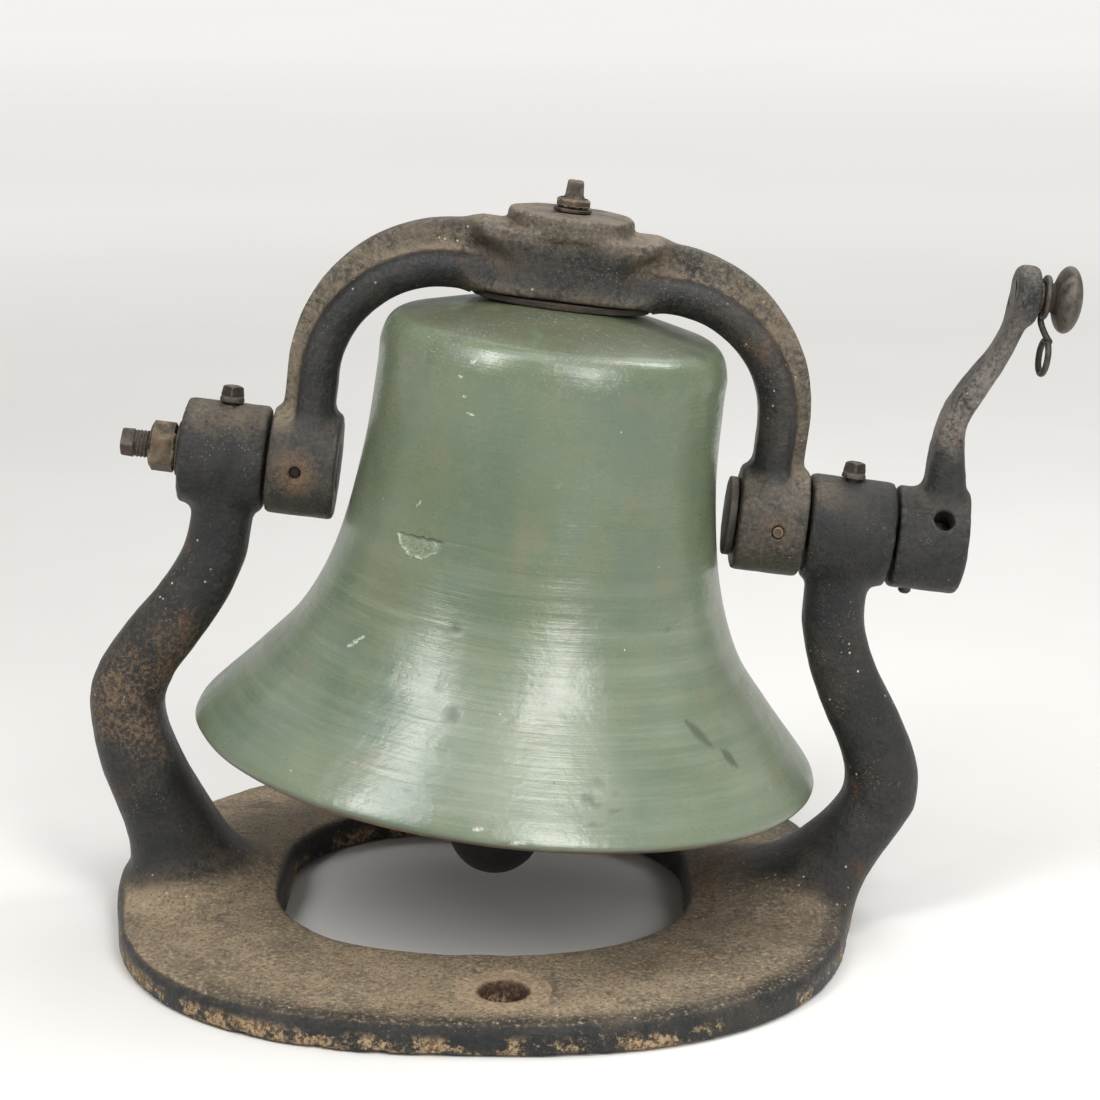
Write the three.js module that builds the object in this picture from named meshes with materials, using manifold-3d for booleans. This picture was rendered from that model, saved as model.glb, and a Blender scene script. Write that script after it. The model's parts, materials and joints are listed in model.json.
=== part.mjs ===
// A swinging bronze bell in a cast-iron yoke and cradle, rung by a crank lever.
// Millimetres, +Z up. The origin is on the ground, under the middle of the whole bell's box.
//
// The cradle's foot ring is flat on the ground. Everything above it leans by LEAN towards the
// crank, because the cradle was cast for a sloping seat: x and h below are measured along and
// square to the trunnion axis, from the middle of the foot ring's underside.
import * as THREE from "three";
import { mergeVertices } from "three/addons/utils/BufferGeometryUtils.js";
import Module from "manifold-3d";

const wasm = await Module();
wasm.setup();

// ---- Driving dimensions ----------------------------------------------------------------

const LEAN = THREE.MathUtils.degToRad(6.4);
const RING_CENTRE_X = -43.1; // the crank sticks out to +X, so the ring isn't under the box's middle
const GAP = 0.3; // between pieces that touch

const TRUNNION_H = 212; // trunnion axis above the ground
const BOSS_R = 25.4; // every boss on the trunnion axis is 2 in across
const SHAFT_R = 11;
const BUSH_R = 14.2;
const YOKE_BOSS = [95, 128]; // inner and outer faces, from the bell's axis
const STAND_BOSS = [128.6, 170];
const CRANK_HUB = [170.6, 204.7];
const CRANK_HUB_R = 24.7;

const RING_OUTER = 177; // half the foot ring's width
const RING_OPENING = 100; // half the opening's width
const RING_SQUARENESS = 2.5; // 2 would be a round ring
const RING_RIM_Z = 15;
const RING_INNER_Z = 17.7;
const BOLT_HOLE_R = 10.4;
const BOLT_SEAT_R = 22.5;
const BOLT_CIRCLE = 139.5;
const BOLT_ANGLE = THREE.MathUtils.degToRad(-85);

const LIP_R = 151; // a 12 in bell, nominally
const LIP_H = 86;
const SHOULDER_R = 82.4;
const CROWN_H = 303.3;
const CROWN_PAD_R = 30;
const CROWN_THICKNESS = 8;
const BOLT_R = 6; // centre bolt through the yoke and the crown

const GASKET = { halfX: 42, halfY: 27.5, top: 306.7 };
const YOKE_BAR = 19.5; // depth of the yoke's round inner bar; the fin outside it takes up the rest
const YOKE_BLOCK_TOP = 338;
const YOKE_DISC = { radius: 30, top: 346.3 };

const CLAPPER_PIVOT_H = 268;
const CLAPPER_BALL = { radius: 23, h: 42 };
const CLEVIS = { halfX: 11.5, halfY: 9, bottom: 257, slotHalf: 4.5, slotTop: 278 };
const CLAPPER_PIN_R = 3.5;

const YOKE_PIN = { x: 114, radius: 2.6 };
const OIL_PLUG_X = 148.5;

const KNOB = { h: 334, inner: 228, outer: 241.4, radius: 16, neckR: 7, rivetR: 4.5 };
const CRANK_HEAD = { inner: 209, outer: 221.4, radius: 14.4 };
const WIRE_R = 1.5;

const SIDES = 28; // facets round a boss

// ---- Materials -------------------------------------------------------------------------

const finish = (color, roughness, metalness) => () =>
  new THREE.MeshStandardMaterial({ color, roughness, metalness });
const castIron = finish(0x37342f, 0.75, 0.5);
const greenBronze = finish(0x7f8f7a, 0.42, 0.5);
const darkSteel = finish(0x4a443b, 0.6, 0.7);
const rustySteel = finish(0x6b543a, 0.8, 0.5);
const bushBronze = finish(0x8a6a3a, 0.45, 0.8);
const leather = finish(0x5a4330, 0.9, 0);

// ---- Solids ----------------------------------------------------------------------------

// A closed geometry as a manifold-3d solid with its faces out.
function solid(geometry) {
  geometry.deleteAttribute("normal");
  geometry.deleteAttribute("uv");
  const merged = mergeVertices(geometry, 1e-4);
  const position = merged.attributes.position;
  const corner = (i) => new THREE.Vector3().fromBufferAttribute(position, i);
  const triangles = [];
  let volume = 0;
  for (let i = 0; i < merged.index.count; i += 3) {
    const [a, b, c] = [0, 1, 2].map((k) => merged.index.getX(i + k));
    if (a === b || b === c || c === a) continue;
    triangles.push([a, b, c]);
    volume += corner(a).dot(corner(b).cross(corner(c)));
  }
  if (volume < 0) triangles.forEach((triangle) => triangle.reverse());
  const mesh = new wasm.Mesh({
    numProp: 3,
    vertProperties: new Float32Array(position.array),
    triVerts: new Uint32Array(triangles.flat()),
  });
  return new wasm.Manifold(mesh);
}

const join = (...solids) => solids.reduce((whole, next) => whole.add(next));
const cut = (body, ...tools) => tools.reduce((left, tool) => left.subtract(tool), body);

function named(name, body, material) {
  const { vertProperties, triVerts } = body.getMesh();
  const geometry = new THREE.BufferGeometry();
  geometry.setAttribute("position", new THREE.BufferAttribute(vertProperties, 3));
  geometry.setIndex(new THREE.BufferAttribute(triVerts, 1));
  geometry.computeVertexNormals();
  const mesh = new THREE.Mesh(geometry, material());
  mesh.name = name;
  return mesh;
}

// A profile of [radius, distance along the axis] turned round the X or the Z axis, then moved.
function turned(profile, { axis = "z", sides = SIDES, at = [0, 0, 0] } = {}) {
  const points = profile.map(([radius, along]) => new THREE.Vector2(radius, along));
  const geometry = new THREE.LatheGeometry(points, sides);
  if (axis === "x") geometry.rotateZ(-Math.PI / 2);
  else geometry.rotateX(Math.PI / 2);
  return solid(geometry.translate(...at));
}

const plainRod = (radius, from, to, place) =>
  turned([[0, from], [radius, from], [radius, to], [0, to]], place);

// A turned boss or sleeve with its outer edges turned off.
const roundedRod = (radius, from, to, edge, place) =>
  turned(
    [
      [0, from],
      [radius - edge, from],
      [radius, from + edge],
      [radius, to - edge],
      [radius - edge, to],
      [0, to],
    ],
    place,
  );

// A straight rod of any direction from one point to another.
function rodBetween(radius, from, to, sides = 20) {
  const start = new THREE.Vector3(...from);
  const along = new THREE.Vector3(...to).sub(start);
  const geometry = new THREE.CylinderGeometry(radius, radius, along.length(), sides);
  geometry.translate(0, along.length() / 2, 0);
  const up = new THREE.Vector3(0, 1, 0);
  geometry.applyQuaternion(new THREE.Quaternion().setFromUnitVectors(up, along.normalize()));
  return solid(geometry.translate(start.x, start.y, start.z));
}

function block([x0, x1], [y0, y1], [z0, z1]) {
  const geometry = new THREE.BoxGeometry(x1 - x0, y1 - y0, z1 - z0);
  return solid(geometry.translate((x0 + x1) / 2, (y0 + y1) / 2, (z0 + z1) / 2));
}

// A prism with a regular outline, such as a nut, along the X or the Z axis. Its corners are
// turned off at both ends by a cone when chamfer is more than 0.
function prism(corners, acrossFlats, from, to, { axis = "z", chamfer = 0, at = [0, 0, 0] } = {}) {
  const cornerR = acrossFlats / 2 / Math.cos(Math.PI / corners);
  const geometry = new THREE.CylinderGeometry(cornerR, cornerR, to - from, corners);
  geometry.rotateY(Math.PI / corners);
  geometry.translate(0, (from + to) / 2, 0);
  if (axis === "x") geometry.rotateZ(-Math.PI / 2);
  else geometry.rotateX(Math.PI / 2);
  const body = solid(geometry.translate(...at));
  if (!chamfer) return body;
  const coneEnd = cornerR - 2 * chamfer;
  const cone = [[0, from], [coneEnd, from], [cornerR, from + chamfer]];
  const otherCone = [[cornerR, to - chamfer], [coneEnd, to], [0, to]];
  return body.intersect(turned([...cone, ...otherCone], { axis, sides: 24, at }));
}

// A square tip that narrows towards its end, as on a plug or a bolt.
function squareTip(across, acrossEnd, from, to, { axis = "z", at = [0, 0, 0] } = {}) {
  const height = to - from;
  const geometry = new THREE.CylinderGeometry(
    acrossEnd / Math.SQRT2,
    across / Math.SQRT2,
    height,
    4,
  );
  geometry.rotateY(Math.PI / 4);
  geometry.translate(0, (from + to) / 2, 0);
  if (axis === "x") geometry.rotateZ(-Math.PI / 2);
  else geometry.rotateX(Math.PI / 2);
  return solid(geometry.translate(...at));
}

// A skin through closed sections with the same number of points, with flat ends.
function loft(sections) {
  const count = sections[0].length;
  const points = sections.flat();
  const middle = (section) =>
    section.reduce((sum, p) => sum.add(p), new THREE.Vector3()).divideScalar(count);
  const index = [];
  for (let s = 0; s + 1 < sections.length; s++) {
    for (let i = 0; i < count; i++) {
      const a = s * count + i;
      const b = s * count + ((i + 1) % count);
      index.push(a, b, b + count, a, b + count, a + count);
    }
  }
  const last = (sections.length - 1) * count;
  const firstMiddle = points.push(middle(sections[0])) - 1;
  const lastMiddle = points.push(middle(sections.at(-1))) - 1;
  for (let i = 0; i < count; i++) {
    const next = (i + 1) % count;
    index.push(firstMiddle, next, i, lastMiddle, last + i, last + next);
  }
  const geometry = new THREE.BufferGeometry().setFromPoints(points);
  geometry.setIndex(index);
  return solid(geometry);
}

// An oval section that reaches from its inner to its outer edge in the XZ plane, and
// halfDepth each way in Y.
function ovalSection(inner, outer, halfDepth, power = 2.3, count = 16) {
  const middle = inner.clone().add(outer).divideScalar(2);
  const reach = outer.clone().sub(middle);
  return Array.from({ length: count }, (_, i) => {
    const angle = (2 * Math.PI * i) / count;
    const across = Math.sign(Math.cos(angle)) * Math.abs(Math.cos(angle)) ** (2 / power);
    const deep = Math.sign(Math.sin(angle)) * Math.abs(Math.sin(angle)) ** (2 / power);
    const x = middle.x + reach.x * across;
    const z = middle.y + reach.y * across;
    return new THREE.Vector3(x, halfDepth * deep, z);
  });
}

// ---- Foot ring and cradle arms: one iron casting ----------------------------------------

// How far out a squarish ring lies at an angle, against a round one of the same width.
function squarish(angle) {
  const c = Math.abs(Math.cos(angle)) ** RING_SQUARENESS;
  const s = Math.abs(Math.sin(angle)) ** RING_SQUARENESS;
  return (c + s) ** (-1 / RING_SQUARENESS);
}

function footRing() {
  const profile = [
    [RING_OPENING, 0],
    [RING_OUTER - 1.5, 0],
    [RING_OUTER, 2],
    [RING_OUTER, RING_RIM_Z - 4],
    [RING_OUTER - 1.4, RING_RIM_Z - 1.2],
    [RING_OUTER - 4.5, RING_RIM_Z],
    [RING_OPENING + 3, RING_INNER_Z],
    [RING_OPENING, RING_INNER_Z - 2.5],
    [RING_OPENING, 0],
  ];
  const points = profile.map(([radius, z]) => new THREE.Vector2(radius, z));
  const geometry = new THREE.LatheGeometry(points, 48);
  geometry.rotateX(Math.PI / 2);
  const position = geometry.attributes.position;
  for (let i = 0; i < position.count; i++) {
    const angle = Math.atan2(position.getY(i), position.getX(i));
    const out = squarish(angle);
    position.setXY(i, position.getX(i) * out, position.getY(i) * out);
  }
  return solid(geometry);
}

// Stations down an arm: inner edge, outer edge and half depth. The upper ones are square to
// the leaning trunnion axis, and are the same on both sides.
const ARM_STATIONS = [
  [[132.5, 194], [163.5, 194], 17],
  [[133.2, 176], [163.4, 176], 15.5],
  [[135, 161], [166.5, 162], 15.5],
  [[142.2, 139], [174.5, 145.5], 16.5],
  [[154, 117], [189, 124], 17.5],
  [[163.8, 99], [200.8, 101.5], 18],
  [[166.5, 83], [203.2, 82], 18.5],
];
// The feet reach a level ring, so they are placed from the ground, and the two sides differ.
const FOOT_STATIONS = {
  left: [
    [[149, 78], [189, 75], 20],
    [[131, 45], [177.5, 43], 24],
    [[118, 28], [174.5, 26], 31],
    [[104, 15], [175, 12], 42],
    [[102, 3], [175, 3], 44],
  ],
  right: [
    [[165, 50], [206.5, 49], 20],
    [[148, 35], [195.5, 33], 25],
    [[130, 25], [187, 21], 32],
    [[108, 15.5], [180, 12], 42],
    [[104, 3], [176, 3], 44],
  ],
};

const leaning = ([x, h]) =>
  new THREE.Vector2(
    x * Math.cos(LEAN) + h * Math.sin(LEAN),
    h * Math.cos(LEAN) - x * Math.sin(LEAN),
  );

function cradleArm(side) {
  const sign = side === "left" ? -1 : 1;
  const upper = ARM_STATIONS.map(([inner, outer, halfDepth]) => [
    leaning([sign * inner[0], inner[1]]),
    leaning([sign * outer[0], outer[1]]),
    halfDepth,
  ]);
  const feet = FOOT_STATIONS[side].map(([inner, outer, halfDepth]) => [
    new THREE.Vector2(sign * inner[0], inner[1]),
    new THREE.Vector2(sign * outer[0], outer[1]),
    halfDepth,
  ]);
  const stations = [...upper, ...feet];
  const innerEdge = new THREE.SplineCurve(stations.map(([inner]) => inner));
  const outerEdge = new THREE.SplineCurve(stations.map(([, outer]) => outer));
  const depth = new THREE.SplineCurve(stations.map(([, , half], i) => new THREE.Vector2(i, half)));
  const steps = Math.round(1.6 * (stations.length - 1));
  const sections = Array.from({ length: steps + 1 }, (_, i) => {
    const t = i / steps;
    return ovalSection(innerEdge.getPoint(t), outerEdge.getPoint(t), depth.getPoint(t).y);
  });
  return loft(sections);
}

function boltHole(angle) {
  const at = [BOLT_CIRCLE * Math.cos(angle), BOLT_CIRCLE * Math.sin(angle), 0];
  const seatZ = RING_RIM_Z + 0.4;
  const hole = plainRod(BOLT_HOLE_R, -5, 40, { sides: 24, at });
  return hole.add(plainRod(BOLT_SEAT_R, seatZ, 40, { sides: 28, at }));
}

function cradle() {
  const lean = new THREE.Matrix4().makeRotationY(LEAN);
  const onAxis = { axis: "x", at: [0, 0, TRUNNION_H] };
  const bosses = [-1, 1].map((sign) => {
    const [from, to] = STAND_BOSS.map((x) => sign * x).sort((a, b) => a - b);
    return roundedRod(BOSS_R, from, to, 2, onAxis);
  });
  const holes = [-1, 1].flatMap((sign) => [
    plainRod(BUSH_R + GAP, sign > 0 ? 120 : -180, sign > 0 ? 180 : -120, onAxis),
    plainRod(4, 0, 40, { sides: 20, at: [sign * OIL_PLUG_X, 0, TRUNNION_H] }),
  ]);
  const leant = (body) => body.transform(lean.elements);
  const arms = ["left", "right"].map(cradleArm);
  const whole = join(footRing(), ...arms, ...bosses.map(leant));
  const below = block([-300, 300], [-300, 300], [-40, 0]);
  const bolts = [boltHole(BOLT_ANGLE), boltHole(BOLT_ANGLE + Math.PI)];
  return cut(whole, ...holes.map(leant), ...bolts, below);
}

// A sleeve pressed into a cradle boss, with an oil hole at its top.
function bearingBush(sign) {
  const [from, to] = STAND_BOSS.map((x) => sign * x).sort((a, b) => a - b);
  const onAxis = { axis: "x", at: [0, 0, TRUNNION_H] };
  const sleeve = plainRod(BUSH_R, from + 0.4, to - 0.4, onAxis);
  const bore = plainRod(SHAFT_R + GAP, from - 5, to + 5, onAxis);
  const oilHole = plainRod(2.5, 0, 30, { sides: 16, at: [sign * OIL_PLUG_X, 0, TRUNNION_H] });
  return cut(sleeve, bore, oilHole);
}

function oilPlug(sign) {
  const at = [sign * OIL_PLUG_X, 0, TRUNNION_H];
  const stemAndCollar = turned(
    [
      [0, 17],
      [3.6, 17],
      [3.6, BOSS_R + 0.4],
      [6, BOSS_R + 0.4],
      [5.8, BOSS_R + 1.6],
      [4.6, BOSS_R + 3],
      [0, BOSS_R + 3],
    ],
    { sides: 24, at },
  );
  return stemAndCollar.add(squareTip(8, 7, BOSS_R + 2.5, BOSS_R + 7.6, { at }));
}

// ---- Bell ------------------------------------------------------------------------------

function bell() {
  const flare = [
    [LIP_R, LIP_H + 2.5],
    [147.2, 95],
    [125, 120],
    [105.7, 145],
    [92, 180],
    [84.4, 225],
    [SHOULDER_R, 262],
    [SHOULDER_R, 283],
  ];
  const bore = [
    [SHOULDER_R - 6, 278],
    [SHOULDER_R - 6, 258],
    [78.2, 225],
    [85.3, 181],
    [98.2, 144],
    [117.2, 116.5],
    [138.2, 93],
    [143.1, LIP_H + 1],
  ];
  const curve = (points, count) =>
    new THREE.SplineCurve(points.map((p) => new THREE.Vector2(...p))).getPoints(count);
  const shoulder = new THREE.Path()
    .moveTo(SHOULDER_R, 283)
    .bezierCurveTo(SHOULDER_R, 288, 80.4, 290.5, 76, 291.7);
  const profile = [
    ...curve(flare, 13),
    ...shoulder.getPoints(3).slice(1),
    new THREE.Vector2(55, 297.2),
    new THREE.Vector2(CROWN_PAD_R + 2, CROWN_H - 0.6),
    new THREE.Vector2(CROWN_PAD_R, CROWN_H),
    new THREE.Vector2(BOLT_R + 0.5, CROWN_H),
    new THREE.Vector2(BOLT_R + 0.5, CROWN_H - CROWN_THICKNESS),
    new THREE.Vector2(40, CROWN_H - CROWN_THICKNESS - 1.5),
    new THREE.Vector2(68, 286),
    ...curve(bore, 9),
    new THREE.Vector2(149.2, LIP_H),
    new THREE.Vector2(LIP_R, LIP_H + 2.5),
  ];
  return turned(profile.map((p) => [p.x, p.y]), { sides: 40 });
}

function ovalPlate(halfX, halfY, from, to) {
  const oval = new THREE.Shape().absellipse(0, 0, halfX, halfY, 0, 2 * Math.PI);
  const options = { depth: to - from, bevelEnabled: false, curveSegments: 28 };
  return solid(new THREE.ExtrudeGeometry(oval, options).translate(0, 0, from));
}

// The pad between the crown and the yoke.
function gasket() {
  const plate = ovalPlate(GASKET.halfX, GASKET.halfY, CROWN_H + GAP, GASKET.top);
  return plate.subtract(plainRod(BOLT_R + 0.8, 290, 320, { sides: 20 }));
}

// ---- Yoke ------------------------------------------------------------------------------

// A bar with a round inner side and a thin fin along its outer side. inner and outer are the
// section's ends, square to the arch.
function yokeSection(inner, outer) {
  const across = outer.clone().sub(inner);
  const fin = across.length() - YOKE_BAR;
  const half = [
    [0, 5.5],
    [2.5, 10],
    [7, 13.5],
    [12, 14.5],
    [16.5, 13.6],
    [YOKE_BAR, 10],
    [YOKE_BAR + 0.35 * fin, 6.6],
    [YOKE_BAR + fin - 1.6, 5.4],
    [YOKE_BAR + fin, 3.6],
  ];
  const outline = [...half, ...half.toReversed().map(([depth, y]) => [depth, -y])];
  across.normalize();
  return outline.map(
    ([depth, y]) => new THREE.Vector3(inner.x + across.x * depth, y, inner.y + across.y * depth),
  );
}

function yokeArch() {
  const inside = { x: 50.6, h: 256, radius: 48.8 };
  const outside = { x: 47, h: 260.5, radius: 77 };
  const legs = [
    [[99.4, 216], [124, 216]],
    [[99.4, 236], [124, 238]],
  ];
  const bend = Array.from({ length: 8 }, (_, i) => {
    const angle = (Math.PI / 2) * (i / 7);
    const [c, s] = [Math.cos(angle), Math.sin(angle)];
    return [
      [inside.x + inside.radius * c, inside.h + inside.radius * s],
      [outside.x + outside.radius * c, outside.h + outside.radius * s],
    ];
  });
  const half = [...legs, ...bend];
  const mirrored = half.toReversed().map((ends) => ends.map(([x, h]) => [-x, h]));
  const sections = [...half, ...mirrored].map(([inner, outer]) =>
    yokeSection(new THREE.Vector2(...inner), new THREE.Vector2(...outer)),
  );
  return loft(sections);
}

function yokeBlock() {
  const stations = [
    [40.5, 26, GASKET.top + GAP],
    [42, 27.5, GASKET.top + 2],
    [43, 28, 325],
    [45, 28, 332],
    [44, 27, YOKE_BLOCK_TOP - 1.5],
    [41.5, 25.5, YOKE_BLOCK_TOP],
  ];
  const sections = stations.map(([halfX, halfY, h]) => {
    const [left, right] = [-1, 1].map((sign) => new THREE.Vector2(sign * halfX, 0));
    return ovalSection(left, right, halfY, 3.6, 24).map((p) => p.setZ(h));
  });
  return loft(sections);
}

function yoke() {
  const onAxis = { axis: "x", at: [0, 0, TRUNNION_H] };
  const bosses = [-1, 1].map((sign) => {
    const [from, to] = YOKE_BOSS.map((x) => sign * x).sort((a, b) => a - b);
    return roundedRod(BOSS_R, from, to, 1.6, onAxis);
  });
  const disc = roundedRod(YOKE_DISC.radius, YOKE_BLOCK_TOP - 3, YOKE_DISC.top, 1.4);
  const bores = [-1, 1].map((sign) =>
    plainRod(SHAFT_R + GAP, sign > 0 ? 80 : -135, sign > 0 ? 135 : -80, onAxis),
  );
  const pinHoles = [-1, 1].map((sign) => yokePinRod(sign, YOKE_PIN.radius + GAP, 30));
  const boltHole = plainRod(BOLT_R + 0.5, 300, 360, { sides: 24 });
  const whole = join(yokeArch(), yokeBlock(), disc, ...bosses);
  const mouths = [-1, 1].map((sign) => {
    const [from, to] = [sign * 60, sign * YOKE_BOSS[0]].sort((a, b) => a - b);
    return plainRod(BOSS_R - 3, from, to, onAxis);
  });
  const seat = ovalPlate(GASKET.halfX + 1.5, GASKET.halfY + 1.5, 290, GASKET.top + GAP);
  return cut(whole, ...bores, ...pinHoles, ...mouths, boltHole, seat);
}

const yokePinRod = (sign, radius, halfLength) =>
  rodBetween(
    radius,
    [sign * YOKE_PIN.x, -halfLength, TRUNNION_H],
    [sign * YOKE_PIN.x, halfLength, TRUNNION_H],
  );

// ---- Trunnion pins ---------------------------------------------------------------------

const LEFT_END = { washer: -171.8, nut: -185, thread: -192.5, tip: -198.7, threadR: 6.7 };

// The left pin turns with the yoke. Its end past the cradle is threaded, with a square tip.
function leftTrunnionPin() {
  const onAxis = { axis: "x", at: [0, 0, TRUNNION_H] };
  const shoulder = -STAND_BOSS[1] - 0.1;
  const body = turned(
    [
      [0, LEFT_END.thread],
      [LEFT_END.threadR - 1, LEFT_END.thread],
      [LEFT_END.threadR, LEFT_END.thread + 1],
      [LEFT_END.threadR, shoulder],
      [SHAFT_R, shoulder],
      [SHAFT_R, -YOKE_BOSS[0] - 1],
      [SHAFT_R - 1, -YOKE_BOSS[0]],
      [0, -YOKE_BOSS[0]],
    ],
    onAxis,
  );
  const tip = squareTip(9.6, 10.4, LEFT_END.tip, LEFT_END.thread + 0.5, onAxis);
  return cut(body.add(tip), yokePinRod(-1, YOKE_PIN.radius + GAP, 30));
}

function leftTrunnionWasher() {
  const onAxis = { axis: "x", at: [0, 0, TRUNNION_H] };
  const [from, to] = [LEFT_END.washer, -STAND_BOSS[1] - 2 * GAP];
  const disc = plainRod(13, from, to, onAxis);
  return disc.subtract(plainRod(LEFT_END.threadR + GAP, from - 2, to + 2, onAxis));
}

function leftTrunnionNut() {
  const at = [0, 0, TRUNNION_H];
  const to = LEFT_END.washer - GAP;
  const nut = prism(6, 21.8, LEFT_END.nut, to, { axis: "x", chamfer: 1.6, at });
  const thread = plainRod(LEFT_END.threadR + GAP, LEFT_END.nut - 5, to + 5, { axis: "x", at });
  return nut.subtract(thread);
}

// The crank shaft: a round head inside the yoke, then through the yoke, cradle and crank hub.
function crankShaft() {
  const head = { from: 90.6, to: YOKE_BOSS[0] - GAP, radius: 18.9 };
  const end = CRANK_HUB[1] - 1;
  const body = turned(
    [
      [0, head.from],
      [head.radius - 1, head.from],
      [head.radius, head.from + 1],
      [head.radius, head.to],
      [SHAFT_R, head.to],
      [SHAFT_R, end - 1],
      [SHAFT_R - 1, end],
      [0, end],
    ],
    { axis: "x", at: [0, 0, TRUNNION_H] },
  );
  return cut(body, yokePinRod(1, YOKE_PIN.radius + GAP, 30), setScrewRod(3.5, 9, 20));
}

// ---- Crank -----------------------------------------------------------------------------

const SET_SCREW_X = 181;
const EMPTY_SCREW_HOLE = { x: 191.5, radius: 4.8, angle: THREE.MathUtils.degToRad(37) };

const setScrewRod = (radius, from, to) =>
  plainRod(radius, TRUNNION_H - to, TRUNNION_H - from, { sides: 20, at: [SET_SCREW_X, 0, 0] });

const CRANK_STATIONS = [
  [[183, 222], [204, 222], 13],
  [[182, 241], [202.2, 240], 12.5],
  [[182.4, 258], [199, 255], 12],
  [[185.2, 275], [197.8, 270], 11.5],
  [[193.5, 292], [204.4, 286], 11],
  [[201.5, 305], [210.6, 300], 10.5],
  [[206.8, 318], [215.4, 314], 10.5],
  [[209.2, 331], [220.2, 329], 11],
];

function crankArm() {
  const onAxis = { axis: "x", at: [0, 0, TRUNNION_H] };
  const hub = roundedRod(CRANK_HUB_R, ...CRANK_HUB, 2, onAxis);
  const inner = new THREE.SplineCurve(CRANK_STATIONS.map(([edge]) => new THREE.Vector2(...edge)));
  const outer = new THREE.SplineCurve(CRANK_STATIONS.map(([, edge]) => new THREE.Vector2(...edge)));
  const steps = Math.round(1.6 * (CRANK_STATIONS.length - 1));
  const sections = Array.from({ length: steps + 1 }, (_, i) => {
    const t = i / steps;
    const deep = THREE.MathUtils.lerp(CRANK_STATIONS[0][2], CRANK_STATIONS.at(-2)[2], t);
    return ovalSection(inner.getPoint(t), outer.getPoint(t), deep, 3, 14);
  });
  const atKnob = { axis: "x", sides: 28, at: [0, 0, KNOB.h] };
  const head = roundedRod(CRANK_HEAD.radius, CRANK_HEAD.inner, CRANK_HEAD.outer, 4, atKnob);
  const rivetHole = rivetProfile(GAP);
  const { x, radius, angle } = EMPTY_SCREW_HOLE;
  const out = [x, -40 * Math.cos(angle), TRUNNION_H + 40 * Math.sin(angle)];
  return cut(
    join(hub, loft(sections), head),
    plainRod(SHAFT_R + GAP, CRANK_HUB[0] - 5, CRANK_HUB[1] + 5, onAxis),
    rodBetween(radius, [x, 0, TRUNNION_H], out, 28),
    setScrewRod(3.5, 5, 40),
    turned([...rivetHole, [KNOB.rivetR + GAP, CRANK_HEAD.outer + 5], [0, CRANK_HEAD.outer + 5]], atKnob),
  );
}

// The screw that bears in a dimple in the shaft. Its end stands a little below the hub.
function crankSetScrew() {
  return turned(
    [
      [0, TRUNNION_H - BOSS_R - 2.2],
      [2, TRUNNION_H - BOSS_R - 1.9],
      [3.2, TRUNNION_H - BOSS_R - 0.6],
      [3.2, TRUNNION_H - SHAFT_R + 0.6],
      [1.5, TRUNNION_H - SHAFT_R + 1.7],
      [0, TRUNNION_H - SHAFT_R + 1.7],
    ],
    { sides: 20, at: [SET_SCREW_X, 0, 0] },
  );
}

// The knob's rivet, from its countersunk end to the crank head's outer side, or its hole.
const rivetProfile = (clearance) => [
  [0, CRANK_HEAD.inner - clearance],
  [KNOB.rivetR + 2 + clearance, CRANK_HEAD.inner - clearance],
  [KNOB.rivetR + clearance, CRANK_HEAD.inner + 2],
];

// A round button on a neck, riveted through the crank's head.
function crankKnob() {
  const width = KNOB.outer - KNOB.inner;
  const bulge = Array.from({ length: 7 }, (_, i) => {
    const angle = -Math.PI / 2 + (Math.PI * (i + 1)) / 8;
    const radius = KNOB.radius * Math.abs(Math.cos(angle)) ** 0.8;
    return [radius, KNOB.inner + (width / 2) * (1 + Math.sin(angle))];
  });
  return turned(
    [
      ...rivetProfile(0),
      [KNOB.rivetR, CRANK_HEAD.outer + GAP],
      [KNOB.neckR, CRANK_HEAD.outer + GAP],
      [KNOB.neckR, KNOB.inner + 0.8],
      ...bulge.filter(([radius]) => radius > KNOB.neckR + 1),
      [0, KNOB.outer],
    ],
    { axis: "x", sides: 24, at: [0, 0, KNOB.h] },
  );
}

// A wire ring round the knob's neck, with a shank down to a long eye for the bell rope.
class HookWire extends THREE.Curve {
  constructor(points) {
    super();
    this.curve = new THREE.CatmullRomCurve3(points, false, "centripetal");
  }
  getPoint(t) {
    return this.curve.getPoint(t);
  }
}

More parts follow.
